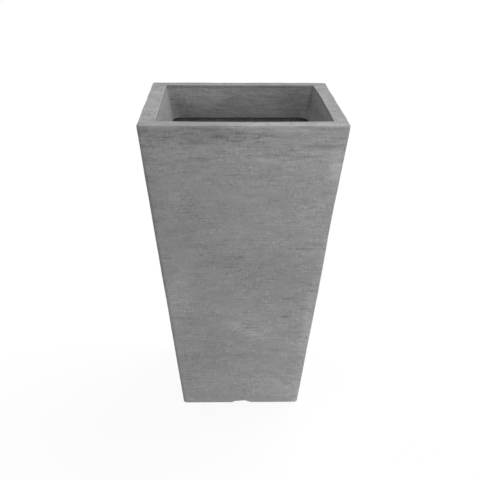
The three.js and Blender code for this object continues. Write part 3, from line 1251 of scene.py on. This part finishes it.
@dataclass(frozen=True)
class Collar(Piece):
    """The skirt under the rim's inner edge.

    Attributes:
        walls: The shared planes.
        depth: Top of the rim to the lower edge.
        top: Depth of its upper edge, which meets the rim's underside.
        lip: Depth that sets how far out the upper edge stands, flush with the rim's inner edge.
        ease: Depth from which it follows the collar's slope.
        thickness: Thickness of the skirt.
        flange: Width of the bonding flange behind it.
        top_corner: Corner radius at the rim's top.
        low_corner: Corner radius at the lower edge.
        edge_fillet: Radius of the lower edge's visible side.
        back_fillet: Radius of its hidden side.
        root_fillet: Radius between the skirt and the flange.
        flange_fillet: Radius of the flange's edges.
        ease_fillet: Radius with which the face eases onto its slope.
        brush: Relief of the brush strokes.
        brush_fade: Depth over which it starts under the rim.
        mesh: How finely the collar is meshed.
    """

    walls: Walls
    depth: float = 72.6 * MM
    top: float = 6.02 * MM
    thickness: float = 4.6 * MM
    flange: float = 12 * MM
    lip: float = 0.3 * MM
    ease: float = 20 * MM
    top_corner: float = 3 * MM
    low_corner: float = 24 * MM
    edge_fillet: float = 1.2 * MM
    back_fillet: float = 1.5 * MM
    root_fillet: float = 3 * MM
    flange_fillet: float = 1 * MM
    ease_fillet: float = 40 * MM
    brush: Ripple = Ripple(0.14 * MM, (90 * MM, 90 * MM, 16 * MM), seed=23, waves=40)
    brush_fade: float = 12 * MM
    mesh: Meshing = Meshing(3.2 * MM, side=72, corner=9)

    def bend(self, depth: float, out: float, fillet: float, face: Face = Face.RAW) -> Bend:
        """Returns a bend at a depth, moved outwards from the collar's inner face."""
        corner = self.top_corner + (self.low_corner - self.top_corner) * depth / self.depth + out
        return Bend(self.walls.mouth(depth) + out, self.walls.height - depth, fillet, corner, face=face)

    def build(self, gelcoat: bpy.types.Material, laminate: bpy.types.Material) -> bpy.types.Object:
        """Builds the collar: up its hidden back, over the bonding flange, down its brushed face.

        The face starts upright under the rim and then eases onto the slope.

        Args:
            gelcoat: Finish of the face.
            laminate: Finish of the back.

        Returns:
            The piece.
        """
        root = self.top + self.thickness
        out = self.thickness + self.flange
        flush = self.walls.mouth(self.lip) - self.walls.mouth(self.top)
        section = Section.trace(
            [
                self.bend(self.depth, self.thickness, self.back_fillet),
                self.bend(root, self.thickness, self.root_fillet),
                self.bend(root, out, self.flange_fillet),
                self.bend(self.top, out, self.flange_fillet),
                self.bend(self.top, flush, CRISP, Face.SHOW),
                self.bend(self.ease, 0, self.ease_fillet, Face.SHOW),
                self.bend(self.depth, 0, self.edge_fillet),
            ],
            self.mesh.spacing,
        )
        grid = section.carried_round(self.mesh.side, self.mesh.corner)
        depth = self.walls.height - grid[..., 2]
        ease = smooth((depth - self.top) / self.brush_fade)
        grid = grid + normals_of(grid) * (self.brush.at(grid) * ease)[..., None]
        grid = grid + self.walls.mouth_move(grid, 1 - depth / self.depth)
        surface = Surface.from_grid(grid, section.edge, section.face, section.run)
        piece = surface.to_object("collar", [gelcoat, laminate])
        return self.settle(piece, "planter", "gelcoat", "rim_collar")


@dataclass(frozen=True)
class FloorPan(Piece):
    """The floor laminated onto the foot flange, with its upturned edge and drain hole.

    Attributes:
        walls: The shared planes.
        bottom: Height of its underside.
        thickness: Thickness of the floor.
        edge_height: Underside to the top of the upturned edge.
        edge_wall: Thickness of the upturned edge.
        gap: Gap to the shell.
        drain: Radius of the drain hole.
        corner: Radius of its upright corners.
        blend: Width along the edge where the floor stays square, before it turns into the drain's circle.
        blend_corner: Corner radius of the square there.
        foot_fillet: Radius of the outer edge underneath.
        lip_fillets: Radii of the upturned edge's top, outside and inside.
        root_fillet: Radius between the floor and the upturned edge.
        drain_fillets: Radii of the drain hole's edges, above and below.
        roll: Unevenness that the roller left.
        roll_fade: Distance from the drain hole over which it starts.
        skin: How far below the floor's upper face a point still counts as part of it.
        mesh: How finely the pan is meshed.
    """

    walls: Walls
    bottom: float = 7.3 * MM
    thickness: float = 6 * MM
    edge_height: float = 28 * MM
    edge_wall: float = 4.5 * MM
    gap: float = 0.3 * MM
    drain: float = 16 * MM
    corner: float = 9 * MM
    blend: float = 32 * MM
    blend_corner: float = 20 * MM
    foot_fillet: float = 2 * MM
    lip_fillets: tuple[float, float] = (1 * MM, 1.6 * MM)
    root_fillet: float = 4 * MM
    drain_fillets: tuple[float, float] = (1.2 * MM, 0.8 * MM)
    roll: Ripple = Ripple(0.45 * MM, (38 * MM, 38 * MM, 38 * MM), seed=31)
    roll_fade: float = 16 * MM
    skin: float = 1 * MM
    mesh: Meshing = Meshing(4 * MM, side=40, corner=7)

    def build(self, laminate: bpy.types.Material) -> bpy.types.Object:
        """Builds the pan: up the edge, over it, in over the floor to the drain hole and back underneath.

        Args:
            laminate: Its finish.

        Returns:
            The piece.
        """
        top = self.bottom + self.thickness
        edge_top = self.bottom + self.edge_height
        low = self.walls.inner(self.bottom) - self.gap
        high = self.walls.inner(edge_top) - self.gap
        inner_corner, flat = self.corner - self.edge_wall, low - self.blend
        section = Section.trace(
            [
                Bend(low, self.bottom, self.foot_fillet, self.corner),
                Bend(high, edge_top, self.lip_fillets[0], self.corner),
                Bend(high - self.edge_wall, edge_top, self.lip_fillets[1], inner_corner),
                Bend(low - self.edge_wall, top, self.root_fillet, inner_corner),
                Bend(flat, top, UNSEEN, self.blend_corner),
                Bend(self.drain, top, self.drain_fillets[0], 0, circle=1),
                Bend(self.drain, self.bottom, self.drain_fillets[1], 0, circle=1),
                Bend(flat, self.bottom, UNSEEN, self.blend_corner),
            ],
            self.mesh.spacing,
        )
        grid = section.carried_round(self.mesh.side, self.mesh.corner)
        reach = np.linalg.norm(grid[..., :2], axis=2) - self.drain
        rolled = smooth(reach / self.roll_fade) * (grid[..., 2] > top - self.skin)
        depth = (self.roll.at(grid) - self.roll.depth) * rolled
        grid = grid + normals_of(grid) * depth[..., None]
        piece = Surface.from_grid(grid, section.edge, section.face).to_object("floor_pan", [laminate])
        return self.settle(piece, "planter", "raw_laminate", "base_pan")


@dataclass(frozen=True)
class DrainPlug(Piece):
    """The rubber bung in the drain hole: a tapered stem, a sealing flange and a fluted grip.

    Attributes:
        floor_top: Height of the floor's upper face.
        tip: Height of the stem's tip.
        stem: Radius of the stem under the flange.
        stem_tip: Radius of the stem at its tip.
        flange: Radius of the flange.
        flange_thickness: Thickness of the flange.
        neck: Radius of the neck.
        grip: Radius of the grip.
        grip_bottom: Height of the grip's underside.
        grip_top: Height of the grip's top.
        soft: Radius of the bung's soft edges.
        seat: Radius between the stem and the flange.
        flange_edge: Radius of the flange's lower edge.
        dish: Radius of the dish in the flange's top.
        dish_wall: Width of the dish's sloping wall.
        dish_depth: Depth of the dish.
        dish_edge: Radius of its edges.
        neck_foot: How far the neck's foot spreads into the dish.
        grip_root: Radius between the neck and the grip.
        flutes: Flutes round the grip.
        flute_depth: Depth of a flute.
        flute_start: Radius from which the flutes cut in.
        flute_fade: Length over which they reach their depth.
        middle: Radius of the flat middle at both ends.
        turn_steps: Steps of the mesh round the axis.
        spacing: Longest step along the section.
        arc_steps: Steps on each bend of it.
    """

    floor_top: float = 13.6 * MM
    tip: float = 5.1 * MM
    stem: float = 15.65 * MM
    stem_tip: float = 14.45 * MM
    flange: float = 23 * MM
    flange_thickness: float = 4 * MM
    neck: float = 5 * MM
    grip: float = 8.5 * MM
    grip_bottom: float = 23.6 * MM
    grip_top: float = 30.6 * MM
    soft: float = 1.5 * MM
    seat: float = 0.8 * MM
    flange_edge: float = 0.7 * MM
    dish: float = 16 * MM
    dish_wall: float = 1 * MM
    dish_depth: float = 0.9 * MM
    dish_edge: float = 0.5 * MM
    neck_foot: float = 4 * MM
    grip_root: float = 1.2 * MM
    flutes: int = 10
    flute_depth: float = 0.55 * MM
    flute_start: float = 6.5 * MM
    flute_fade: float = 1.5 * MM
    middle: float = 2 * MM
    turn_steps: int = 72
    spacing: float = 1.2 * MM
    arc_steps: int = 4

    def build(self, rubber: bpy.types.Material) -> bpy.types.Object:
        """Builds the bung: its section turned round the axis, with capped ends and a fluted grip.

        A flute takes flute_depth * (0.5 + 0.5 * cos(flutes * turn)) off the grip's radius.

        Args:
            rubber: Its finish.

        Returns:
            The piece.
        """
        flange_top = self.floor_top + self.flange_thickness
        dish_bottom = flange_top - self.dish_depth
        rows = [
            (self.middle, self.tip, UNSEEN),
            (self.stem_tip, self.tip, self.soft),
            (self.stem, self.floor_top, self.seat),
            (self.flange, self.floor_top, self.flange_edge),
            (self.flange, flange_top, self.soft),
            (self.dish, flange_top, self.dish_edge),
            (self.dish - self.dish_wall, dish_bottom, self.dish_edge),
            (self.neck + self.neck_foot, dish_bottom, self.dish_edge),
            (self.neck, flange_top, self.soft),
            (self.neck, self.grip_bottom, self.grip_root),
            (self.grip, self.grip_bottom, self.soft),
            (self.grip, self.grip_top, self.soft),
            (self.middle, self.grip_top, UNSEEN),
        ]
        bends = [Bend(radius, z, fillet, corner=0, circle=1) for radius, z, fillet in rows]
        section = Section.trace(bends, self.spacing, self.arc_steps)
        last = int(np.flatnonzero(section.z > self.grip_top - SAME_PLACE)[-1])
        turned = slice(0, last + 1)
        turn = np.linspace(0, 2 * math.pi, self.turn_steps, endpoint=False)
        radius = np.broadcast_to(section.half[turned, None], (last + 1, self.turn_steps)).copy()
        z = np.broadcast_to(section.z[turned, None], radius.shape)
        outer = smooth((radius - self.flute_start) / self.flute_fade) * (z > self.grip_bottom)
        radius -= self.flute_depth * outer * (0.5 + 0.5 * np.cos(self.flutes * turn))
        grid = np.stack([radius * np.cos(turn), radius * np.sin(turn), z], axis=-1)
        surface = Surface.from_grid(grid, section.edge[turned], section.face[turned], closed=False)
        ring = np.arange(self.turn_steps)
        surface.cap(ring, upwards=False)
        surface.cap(ring + last * self.turn_steps, upwards=True)
        return self.settle(surface.to_object("drain_bung", [rubber]), "plug", "plug_rubber", "drain_plug")


@dataclass(frozen=True)
class SoilShelf(Piece):
    """The loose shelf: a plate with drain holes, two finger holes and a skirt.

    The plate is laid out in square cells, each with its hole. A finger hole takes the place of two
    cells. The cells meet edge to edge on shared points, and a margin joins them to the skirt.

    Attributes:
        top: Height of the plate's upper face.
        thickness: Thickness of the plate.
        half: Half the width across the skirt.
        corner: Radius of the skirt's corners.
        skirt: Underside of the skirt to the plate's upper face.
        skirt_wall: Thickness of the skirt.
        pitch: Distance between drain holes.
        cells: Cells along a side.
        drain: Radius of a drain hole.
        finger: Radius of a finger hole.
        steps: Points along a cell's side.
        hole_edge: Radius of the holes' edges.
        hole_loop: Width of the flat ring round a hole, as a multiple of hole_edge.
        arc_points: Points on each of those edges.
        edge: Width and height of the rounded edge round the plate.
        bevel: How far the middle of that edge lies in from the square corner, both ways.
        band: Depth below the plate's upper face of the skirt's upper loop.
        inset: How far in from the skirt the plate's outer loop lies.
        fillet: Size of the corner between the plate's underside and the skirt.
        lip: Size of the skirt's lower edges.
    """

    top: float = 250 * MM
    thickness: float = 6 * MM
    half: float = 145.18 * MM
    corner: float = 14 * MM
    skirt: float = 20 * MM
    skirt_wall: float = 5 * MM
    pitch: float = 50 * MM
    cells: int = 5
    drain: float = 6 * MM
    finger: float = 15 * MM
    steps: int = 8
    hole_edge: float = 1.2 * MM
    hole_loop: float = 2.5
    arc_points: int = 5
    edge: float = 2 * MM
    bevel: float = 0.6 * MM
    band: float = 8 * MM
    inset: float = 7 * MM
    fillet: float = 3 * MM
    lip: float = 1 * MM

    def rectangle(self, x_cells: int, y_cells: int) -> Array:
        """Lays points round a rectangle of cells, anticlockwise and evenly spaced.

        Args:
            x_cells: Cells along X.
            y_cells: Cells along Y.

        Returns:
            The points, about the rectangle's middle.
        """
        across, up = x_cells * self.steps, y_cells * self.steps
        x = np.concatenate([np.arange(across), np.full(up, across), np.arange(across, 0, -1), np.zeros(up)])
        y = np.concatenate([np.zeros(across), np.arange(up), np.full(across, up), np.arange(up, 0, -1)])
        return np.column_stack([x - across / 2, y - up / 2]) * self.pitch / self.steps

    def holed(self, centre: tuple[float, float], x_cells: int, y_cells: int, radius: float) -> Surface:
        """Lays the plate round one hole: both faces and the hole's wall.

        A point is (1 - s) * the rectangle's + s * the circle's at the same angle, where s is 0 on the
        rectangle and 1 from the ring round the hole inwards. The hole's edges are rounded.

        Args:
            centre: The hole's centre.
            x_cells: Cells along X that the rectangle takes.
            y_cells: Cells along Y that it takes.
            radius: The hole's radius.

        Returns:
            The surface.
        """
        rim = self.rectangle(x_cells, y_cells)
        ray = rim / np.linalg.norm(rim, axis=1, keepdims=True)
        edge, loop = self.hole_edge, self.hole_edge * self.hole_loop
        bottom = self.top - self.thickness
        angle = np.linspace(0, math.pi / 2, self.arc_points)
        radii = np.concatenate([
            [radius, radius + loop], radius + edge * (1 - np.sin(angle)),
            radius + edge * (1 - np.cos(angle)), [radius + loop, radius],
        ])
        heights = np.concatenate([
            [self.top, self.top], self.top - edge * (1 - np.cos(angle)),
            bottom + edge * (1 - np.sin(angle)), [bottom, bottom],
        ])
        share = np.ones(len(radii))
        share[[0, -1]] = 0
        plan = (1 - share)[:, None, None] * rim + share[:, None, None] * radii[:, None, None] * ray
        z = np.broadcast_to(heights[:, None, None], plan.shape[:2] + (1,))
        grid = np.concatenate([plan + np.array(centre), z], axis=2)
        rounded = np.isin(np.arange(len(radii)), np.arange(2, len(radii) - 2)).astype(float)
        return Surface.from_grid(grid, rounded, np.zeros(len(radii), int), closed=False)

    def margin(self) -> Surface:
        """Lays the plate's margin and the skirt.

        The cells' outline is a square. Its points go out to the skirt's square, where a point beyond
        the corner's centre is pulled onto the corner's circle. Each ring is a distance in from the
        skirt's outside, which its corners' radius loses too, and a height.

        Returns:
            The surface.
        """
        outline = self.rectangle(self.cells, self.cells)
        unit = outline / (self.cells * self.pitch / 2)
        bottom, low, wall = self.top - self.thickness, self.top - self.skirt, self.skirt_wall
        rows = [
            (0.0, low + self.lip), (0.0, self.top - self.band), (0.0, self.top - self.edge),
            (self.bevel, self.top - self.bevel), (self.edge, self.top), (self.inset, self.top), None,
            None, (wall + self.fillet, bottom), (wall, bottom - self.fillet), (wall, low + self.lip),
            (wall - self.lip, low), (self.lip, low),
        ]
        cut = rows.index(None) + 1
        face_heights = [self.top] * cut + [bottom] * (len(rows) - cut)
        rings = []
        for row, face_height in zip(rows, face_heights):
            if row is None:
                ring, z = outline, face_height
            else:
                inwards, z = row
                half, corner = self.half - inwards, self.corner - inwards
                held = np.clip(unit * half, corner - half, half - corner)
                over = unit * half - held
                ring = held + corner * over / np.maximum(np.linalg.norm(over, axis=1, keepdims=True), TINY)
            rings.append(np.column_stack([ring, np.full(len(ring), z)]))
        grid = np.stack(rings)
        edge = np.array([1, 0, 1, 1, 1, 0, 0, 0, 0, 0, 1, 1, 1], float)
        upper = Surface.from_grid(grid[:cut], edge[:cut], np.zeros(cut, int), closed=False)
        under, under_edge = np.concatenate([grid[cut:], grid[:1]]), np.append(edge[cut:], edge[:1])
        lower = Surface.from_grid(under, under_edge, np.zeros(len(under), int), closed=False)
        return upper.joined(lower)

    def build(self, plastic: bpy.types.Material) -> bpy.types.Object:
        """Builds the shelf from its cells and its margin.

        The finger holes lie in the middle row, each in the middle of the two cells that it takes.

        Args:
            plastic: Its finish.

        Returns:
            The piece.
        """
        middle, pitch = self.cells // 2, self.pitch
        spots = [
            (column * pitch, row * pitch)
            for column in range(-middle, middle + 1)
            for row in range(-middle, middle + 1)
            if row != 0 or column == 0
        ]
        parts = [self.holed(spot, 1, 1, self.drain) for spot in spots]
        parts += [self.holed((side * 1.5 * pitch, 0.0), 2, 1, self.finger) for side in (-1, 1)]
        piece = self.margin().joined(*parts).to_object("false_bottom", [plastic])
        return self.settle(piece, "shelf", "shelf_plastic", "soil_shelf")


class Side(Enum):
    """The four walls, and how many quarter turns each is from the right-hand one."""

    RIGHT = 0
    BACK = 1
    LEFT = 2
    FRONT = 3


@dataclass(frozen=True)
class Cleats(Piece):
    """The four battens under the shelf, each laid over with laminate that runs out onto the wall.

    Attributes:
        walls: The shared planes.
        top: Height of the top, where the shelf rests.
        height: Height of the batten.
        length: Length of the batten.
        ledge_half: Distance from the planter's axis to the ledge's edge.
        foot: How far the lower edge stands off the wall.
        tab: How far the laminate runs out onto the wall.
        tab_thickness: Thickness of that laminate.
        gap: Gap between the batten and the wall.
        ledge_fillet: Radius of the ledge's edge.
        heel_fillet: Radius of the batten's lower edge.
        tuck: How far below the batten the laminate meets the wall.
        tuck_fillet: Radius with which it meets the wall.
        tab_fillet: Radius of the laminate's own edge.
        end_start: How far before its end the batten starts to ease down.
        end_fade: Length over which it does.
        tab_steps: Steps of the mesh along the laminate past each end.
        length_points: Points of the mesh along the batten.
        spacing: Longest step along the section.
        roll: Unevenness that the roller left.
        roll_fade: Length over which it fades out at the wall and at the ledge.
    """

    walls: Walls
    top: float = 229.7 * MM
    height: float = 30 * MM
    length: float = 150 * MM
    ledge_half: float = 129.18 * MM
    foot: float = 8 * MM
    tab: float = 18 * MM
    tab_thickness: float = 0.9 * MM
    gap: float = 0.3 * MM
    ledge_fillet: float = 2.5 * MM
    heel_fillet: float = 5 * MM
    tuck: float = 6 * MM
    tuck_fillet: float = 4 * MM
    tab_fillet: float = 0.3 * MM
    end_start: float = 5 * MM
    end_fade: float = 9 * MM
    tab_steps: int = 12
    length_points: int = 60
    spacing: float = 2.5 * MM
    roll: Ripple = Ripple(0.4 * MM, (26 * MM, 26 * MM, 26 * MM), seed=47)
    roll_fade: float = 4 * MM

    def build(self, laminate: bpy.types.Material) -> list[bpy.types.Object]:
        """Builds the four cleats."""
        return [self.one(side, laminate) for side in Side]

    def one(self, side: Side, laminate: bpy.types.Material) -> bpy.types.Object:
        """Builds one cleat.

        Its section is a closed line of depth off the wall against height. Along the wall the depth
        keeps its full value over the batten, and eases down to the laminate's thickness past its ends.

        Args:
            side: Its wall.
            laminate: Its finish.

        Returns:
            The piece.
        """
        low, thin = self.top - self.height, self.tab_thickness
        end = low - self.tab
        profile = Section.trace(
            [
                Bend(self.gap, end, UNSEEN, 0),
                Bend(self.gap, self.top, UNSEEN, 0),
                Bend(self.walls.inner(self.top) - self.ledge_half, self.top, self.ledge_fillet, 0),
                Bend(self.foot + self.gap, low, self.heel_fillet, 0),
                Bend(thin, low - self.tuck, self.tuck_fillet, 0),
                Bend(thin, end, self.tab_fillet, 0),
            ],
            self.spacing,
        )
        half = self.length / 2
        tab_start, tab_end, steps = half, half + self.tab, self.tab_steps
        along = np.concatenate([
            np.linspace(-tab_end, -tab_start, steps, endpoint=False),
            np.linspace(-half, half, self.length_points), np.linspace(tab_start, tab_end, steps + 1)[1:],
        ])
        full = 1 - smooth((np.abs(along) - half + self.end_start) / self.end_fade)
        depth = np.minimum(profile.half[None, :], thin) * (1 - full[:, None])
        depth = depth + profile.half[None, :] * full[:, None]
        height = np.broadcast_to(profile.z[None, :], depth.shape)
        wall = self.walls.inner(0) + height * math.tan(self.walls.lean)
        grid = np.stack([wall - depth, np.broadcast_to(along[:, None], depth.shape), height], axis=-1)
        rolled = smooth((depth - thin) / self.roll_fade) * smooth((self.top - height) / self.roll_fade)
        grid[..., 0] += self.roll.at(grid + side.value) * rolled
        turn = np.array(Matrix.Rotation(side.value * math.pi / 2, 3, "Z"))
        rings, size = grid.shape[:2]
        surface = Surface.from_grid(grid @ turn.T, np.zeros(rings), np.zeros(rings, int), closed=False)
        surface.cap(np.arange(size), upwards=False)
        surface.cap(np.arange(size) + (rings - 1) * size, upwards=True)
        name = side.name.lower()
        piece = surface.to_object(f"batten_{name}", [laminate])
        return self.settle(piece, "planter", "raw_laminate", f"cleat_{name}")


# --------------------------------------------------------------------------------------------------
# Studio
# --------------------------------------------------------------------------------------------------


@dataclass(frozen=True)
class Camera:
    """The photograph's camera, fitted to the planter's corners.

    Attributes:
        place: Where it stands.
        pitch: Degrees that it looks down.
        yaw: Degrees that it looks to the right of +Y.
        roll: Degrees that the picture leans.
        focal_px: Focal length in pixels of the frame.
        frame_px: Width and height of the frame.
        sensor_mm: Width of the sensor.
    """

    place: tuple[float, float, float] = (-0.0406, -1.615, 1.0194)
    pitch: float = 22.67
    yaw: float = 1.414
    roll: float = -0.413
    focal_px: float = 783.1
    frame_px: int = 480
    sensor_mm: float = 36.0

    def build(self) -> None:
        """Makes it the scene's camera.

        The way it looks is (sin yaw cos pitch, cos yaw cos pitch, -sin pitch). The picture's right and
        down directions are turned about it by the roll.
        """
        pitch, yaw, roll = (math.radians(angle) for angle in (self.pitch, self.yaw, self.roll))
        ahead = np.array([
            math.sin(yaw) * math.cos(pitch), math.cos(yaw) * math.cos(pitch), -math.sin(pitch),
        ])
        level = np.array([math.cos(yaw), -math.sin(yaw), 0.0])
        down = np.cross(ahead, level)
        right = level * math.cos(roll) + down * math.sin(roll)
        down = down * math.cos(roll) - level * math.sin(roll)
        data = bpy.data.cameras.new("camera")
        data.sensor_width = self.sensor_mm
        data.lens = self.focal_px * data.sensor_width / self.frame_px
        camera = added("camera", data)
        axes = np.column_stack([right, -down, -ahead, self.place])
        camera.matrix_world = Matrix(np.vstack([axes, [0, 0, 0, 1]]).tolist())
        bpy.context.scene.camera = camera


@dataclass(frozen=True)
class Softbox:
    """A large, far lamp, which lights everything evenly from one direction.

    Attributes:
        name: Its name.
        bearing: Degrees from the front, -Y, towards +X.
        height: Degrees above the floor.
        spread: Degrees that it takes up in the sky.
        strength: Its strength.
    """

    name: str
    bearing: float
    height: float
    spread: float
    strength: float

    def build(self) -> None:
        """Makes the lamp."""
        data = bpy.data.lights.new(self.name, "SUN")
        data.energy = self.strength
        data.angle = math.radians(self.spread)
        lamp = added(self.name, data)
        turn, rise = math.radians(self.bearing), math.radians(self.height)
        away = Vector((math.sin(turn) * math.cos(rise), -math.cos(turn) * math.cos(rise), math.sin(rise)))
        lamp.matrix_world = away.to_track_quat("Z", "Y").to_matrix().to_4x4()


@dataclass(frozen=True)
class Panel:
    """A near, square panel of light.

    Attributes:
        name: Its name.
        place: Where it stands.
        aim: Where it points.
        size: Its side.
        power: Its power in watts.
    """

    name: str
    place: tuple[float, float, float]
    aim: tuple[float, float, float]
    size: float
    power: float

    def build(self) -> None:
        """Makes the lamp."""
        data = bpy.data.lights.new(self.name, "AREA")
        data.shape = "SQUARE"
        data.size = self.size
        data.energy = self.power
        lamp = added(self.name, data)
        away = Vector(self.place) - Vector(self.aim)
        turn = away.to_track_quat("Z", "Y").to_matrix().to_4x4()
        lamp.matrix_world = Matrix.Translation(self.place) @ turn


@dataclass(frozen=True)
class Studio:
    """A white floor, a pale surrounding light and soft lamps.

    Attributes:
        surround: Strength of the light from all round.
        floor_half: Half a side of the floor.
        floor_white: Colour of the floor.
        floor_glow: Strength of the white that the camera sees in its place.
        floor_gap: How far it lies below the planter.
        shadow: Share of the floor's own shading that the camera sees.
        lamps: The lamps.
    """

    surround: float = 0.35
    floor_half: float = 30.0
    floor_white: str = "#f2f2f2"
    floor_glow: float = 1.006
    floor_gap: float = 0.02 * MM
    shadow: float = 0.08
    lamps: tuple[Softbox | Panel, ...] = (
        Softbox("key from behind, right", 130, 50, 50, 2.3),
        Softbox("rim light from behind, left", -150, 60, 50, 0.42),
        Softbox("low front light", 0, 15, 24, 0.63),
        Panel("floor bounce", (0.25, -0.36, 0.05), (0.0, -0.12, 0.04), 0.2, 0.12),
    )

    @staticmethod
    def seen(tree: bpy.types.NodeTree) -> bpy.types.NodeSocket:
        """Tells the rays of the camera, of gloss and through glass from the others.

        Args:
            tree: The node tree.

        Returns:
            The socket with 1 on those rays and 0 on the others.
        """
        path = add(tree, "ShaderNodeLightPath").outputs
        first = add(
            tree, "ShaderNodeMath", {0: path["Is Camera Ray"], 1: path["Is Glossy Ray"]}, operation="MAXIMUM"
        )
        both = {0: first.outputs[0], 1: path["Is Transmission Ray"]}
        return add(tree, "ShaderNodeMath", both, operation="MAXIMUM").outputs[0]

    def light_world(self) -> None:
        """Lights the scene from all round. The camera, gloss and glass see plain white there."""
        world = bpy.data.worlds.new("surround")
        bpy.context.scene.world = world
        tree = cleared(world)
        soft = add(tree, "ShaderNodeBackground", {"Color": linear(WHITE), "Strength": self.surround})
        white = add(tree, "ShaderNodeBackground", {"Color": linear(WHITE), "Strength": 1.0})
        mixed = add(
            tree, "ShaderNodeMixShader", {0: self.seen(tree), 1: soft.outputs[0], 2: white.outputs[0]}
        )
        add(tree, "ShaderNodeOutputWorld", {"Surface": mixed.outputs[0]})

    def lay_floor(self) -> None:
        """Lays a large white floor, just under the planter, which shows only a faint shadow."""
        h, z = self.floor_half, -self.floor_gap
        mesh = bpy.data.meshes.new("floor")
        mesh.from_pydata([(-h, -h, z), (h, -h, z), (h, h, z), (-h, h, z)], [], [(0, 1, 2, 3)])
        floor = added("floor", mesh)
        paper = bpy.data.materials.new("white studio paper")
        tree = cleared(paper)
        shaded = add(tree, "ShaderNodeBsdfDiffuse", {"Color": linear(self.floor_white)})
        glow = add(tree, "ShaderNodeEmission", {"Color": linear(WHITE), "Strength": self.floor_glow})
        share = add(tree, "ShaderNodeMath", {0: self.seen(tree), 1: 1 - self.shadow}, operation="MULTIPLY")
        mixed = add(
            tree, "ShaderNodeMixShader", {0: share.outputs[0], 1: shaded.outputs[0], 2: glow.outputs[0]}
        )
        add(tree, "ShaderNodeOutputMaterial", {"Surface": mixed.outputs[0]})
        mesh.materials.append(paper)

    def build(self) -> None:
        """Builds the studio."""
        bpy.context.scene.view_settings.view_transform = "Standard"
        self.light_world()
        self.lay_floor()
        for lamp in self.lamps:
            lamp.build()


# --------------------------------------------------------------------------------------------------
# The planter
# --------------------------------------------------------------------------------------------------


def main() -> None:
    """Builds the camera, the studio and every piece."""
    logging.basicConfig(level=logging.INFO, format="%(name)s: %(message)s")
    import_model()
    Camera().build()
    Studio().build()

    walls = Walls()
    # The marks hold pigment tone, and painted shade and painted light.
    gelcoat = BrushedGelcoat(marks=ToneAndPaintedLight(walls).marks()).material()
    laminate = RawLaminate().material()
    Shell(walls).build(gelcoat, laminate)
    Collar(walls).build(gelcoat, laminate)
    FloorPan(walls).build(laminate)
    Cleats(walls).build(laminate)
    DrainPlug().build(BlackRubber().material())
    SoilShelf().build(GrainedPlastic().material())


if __name__ == "__main__":
    main()
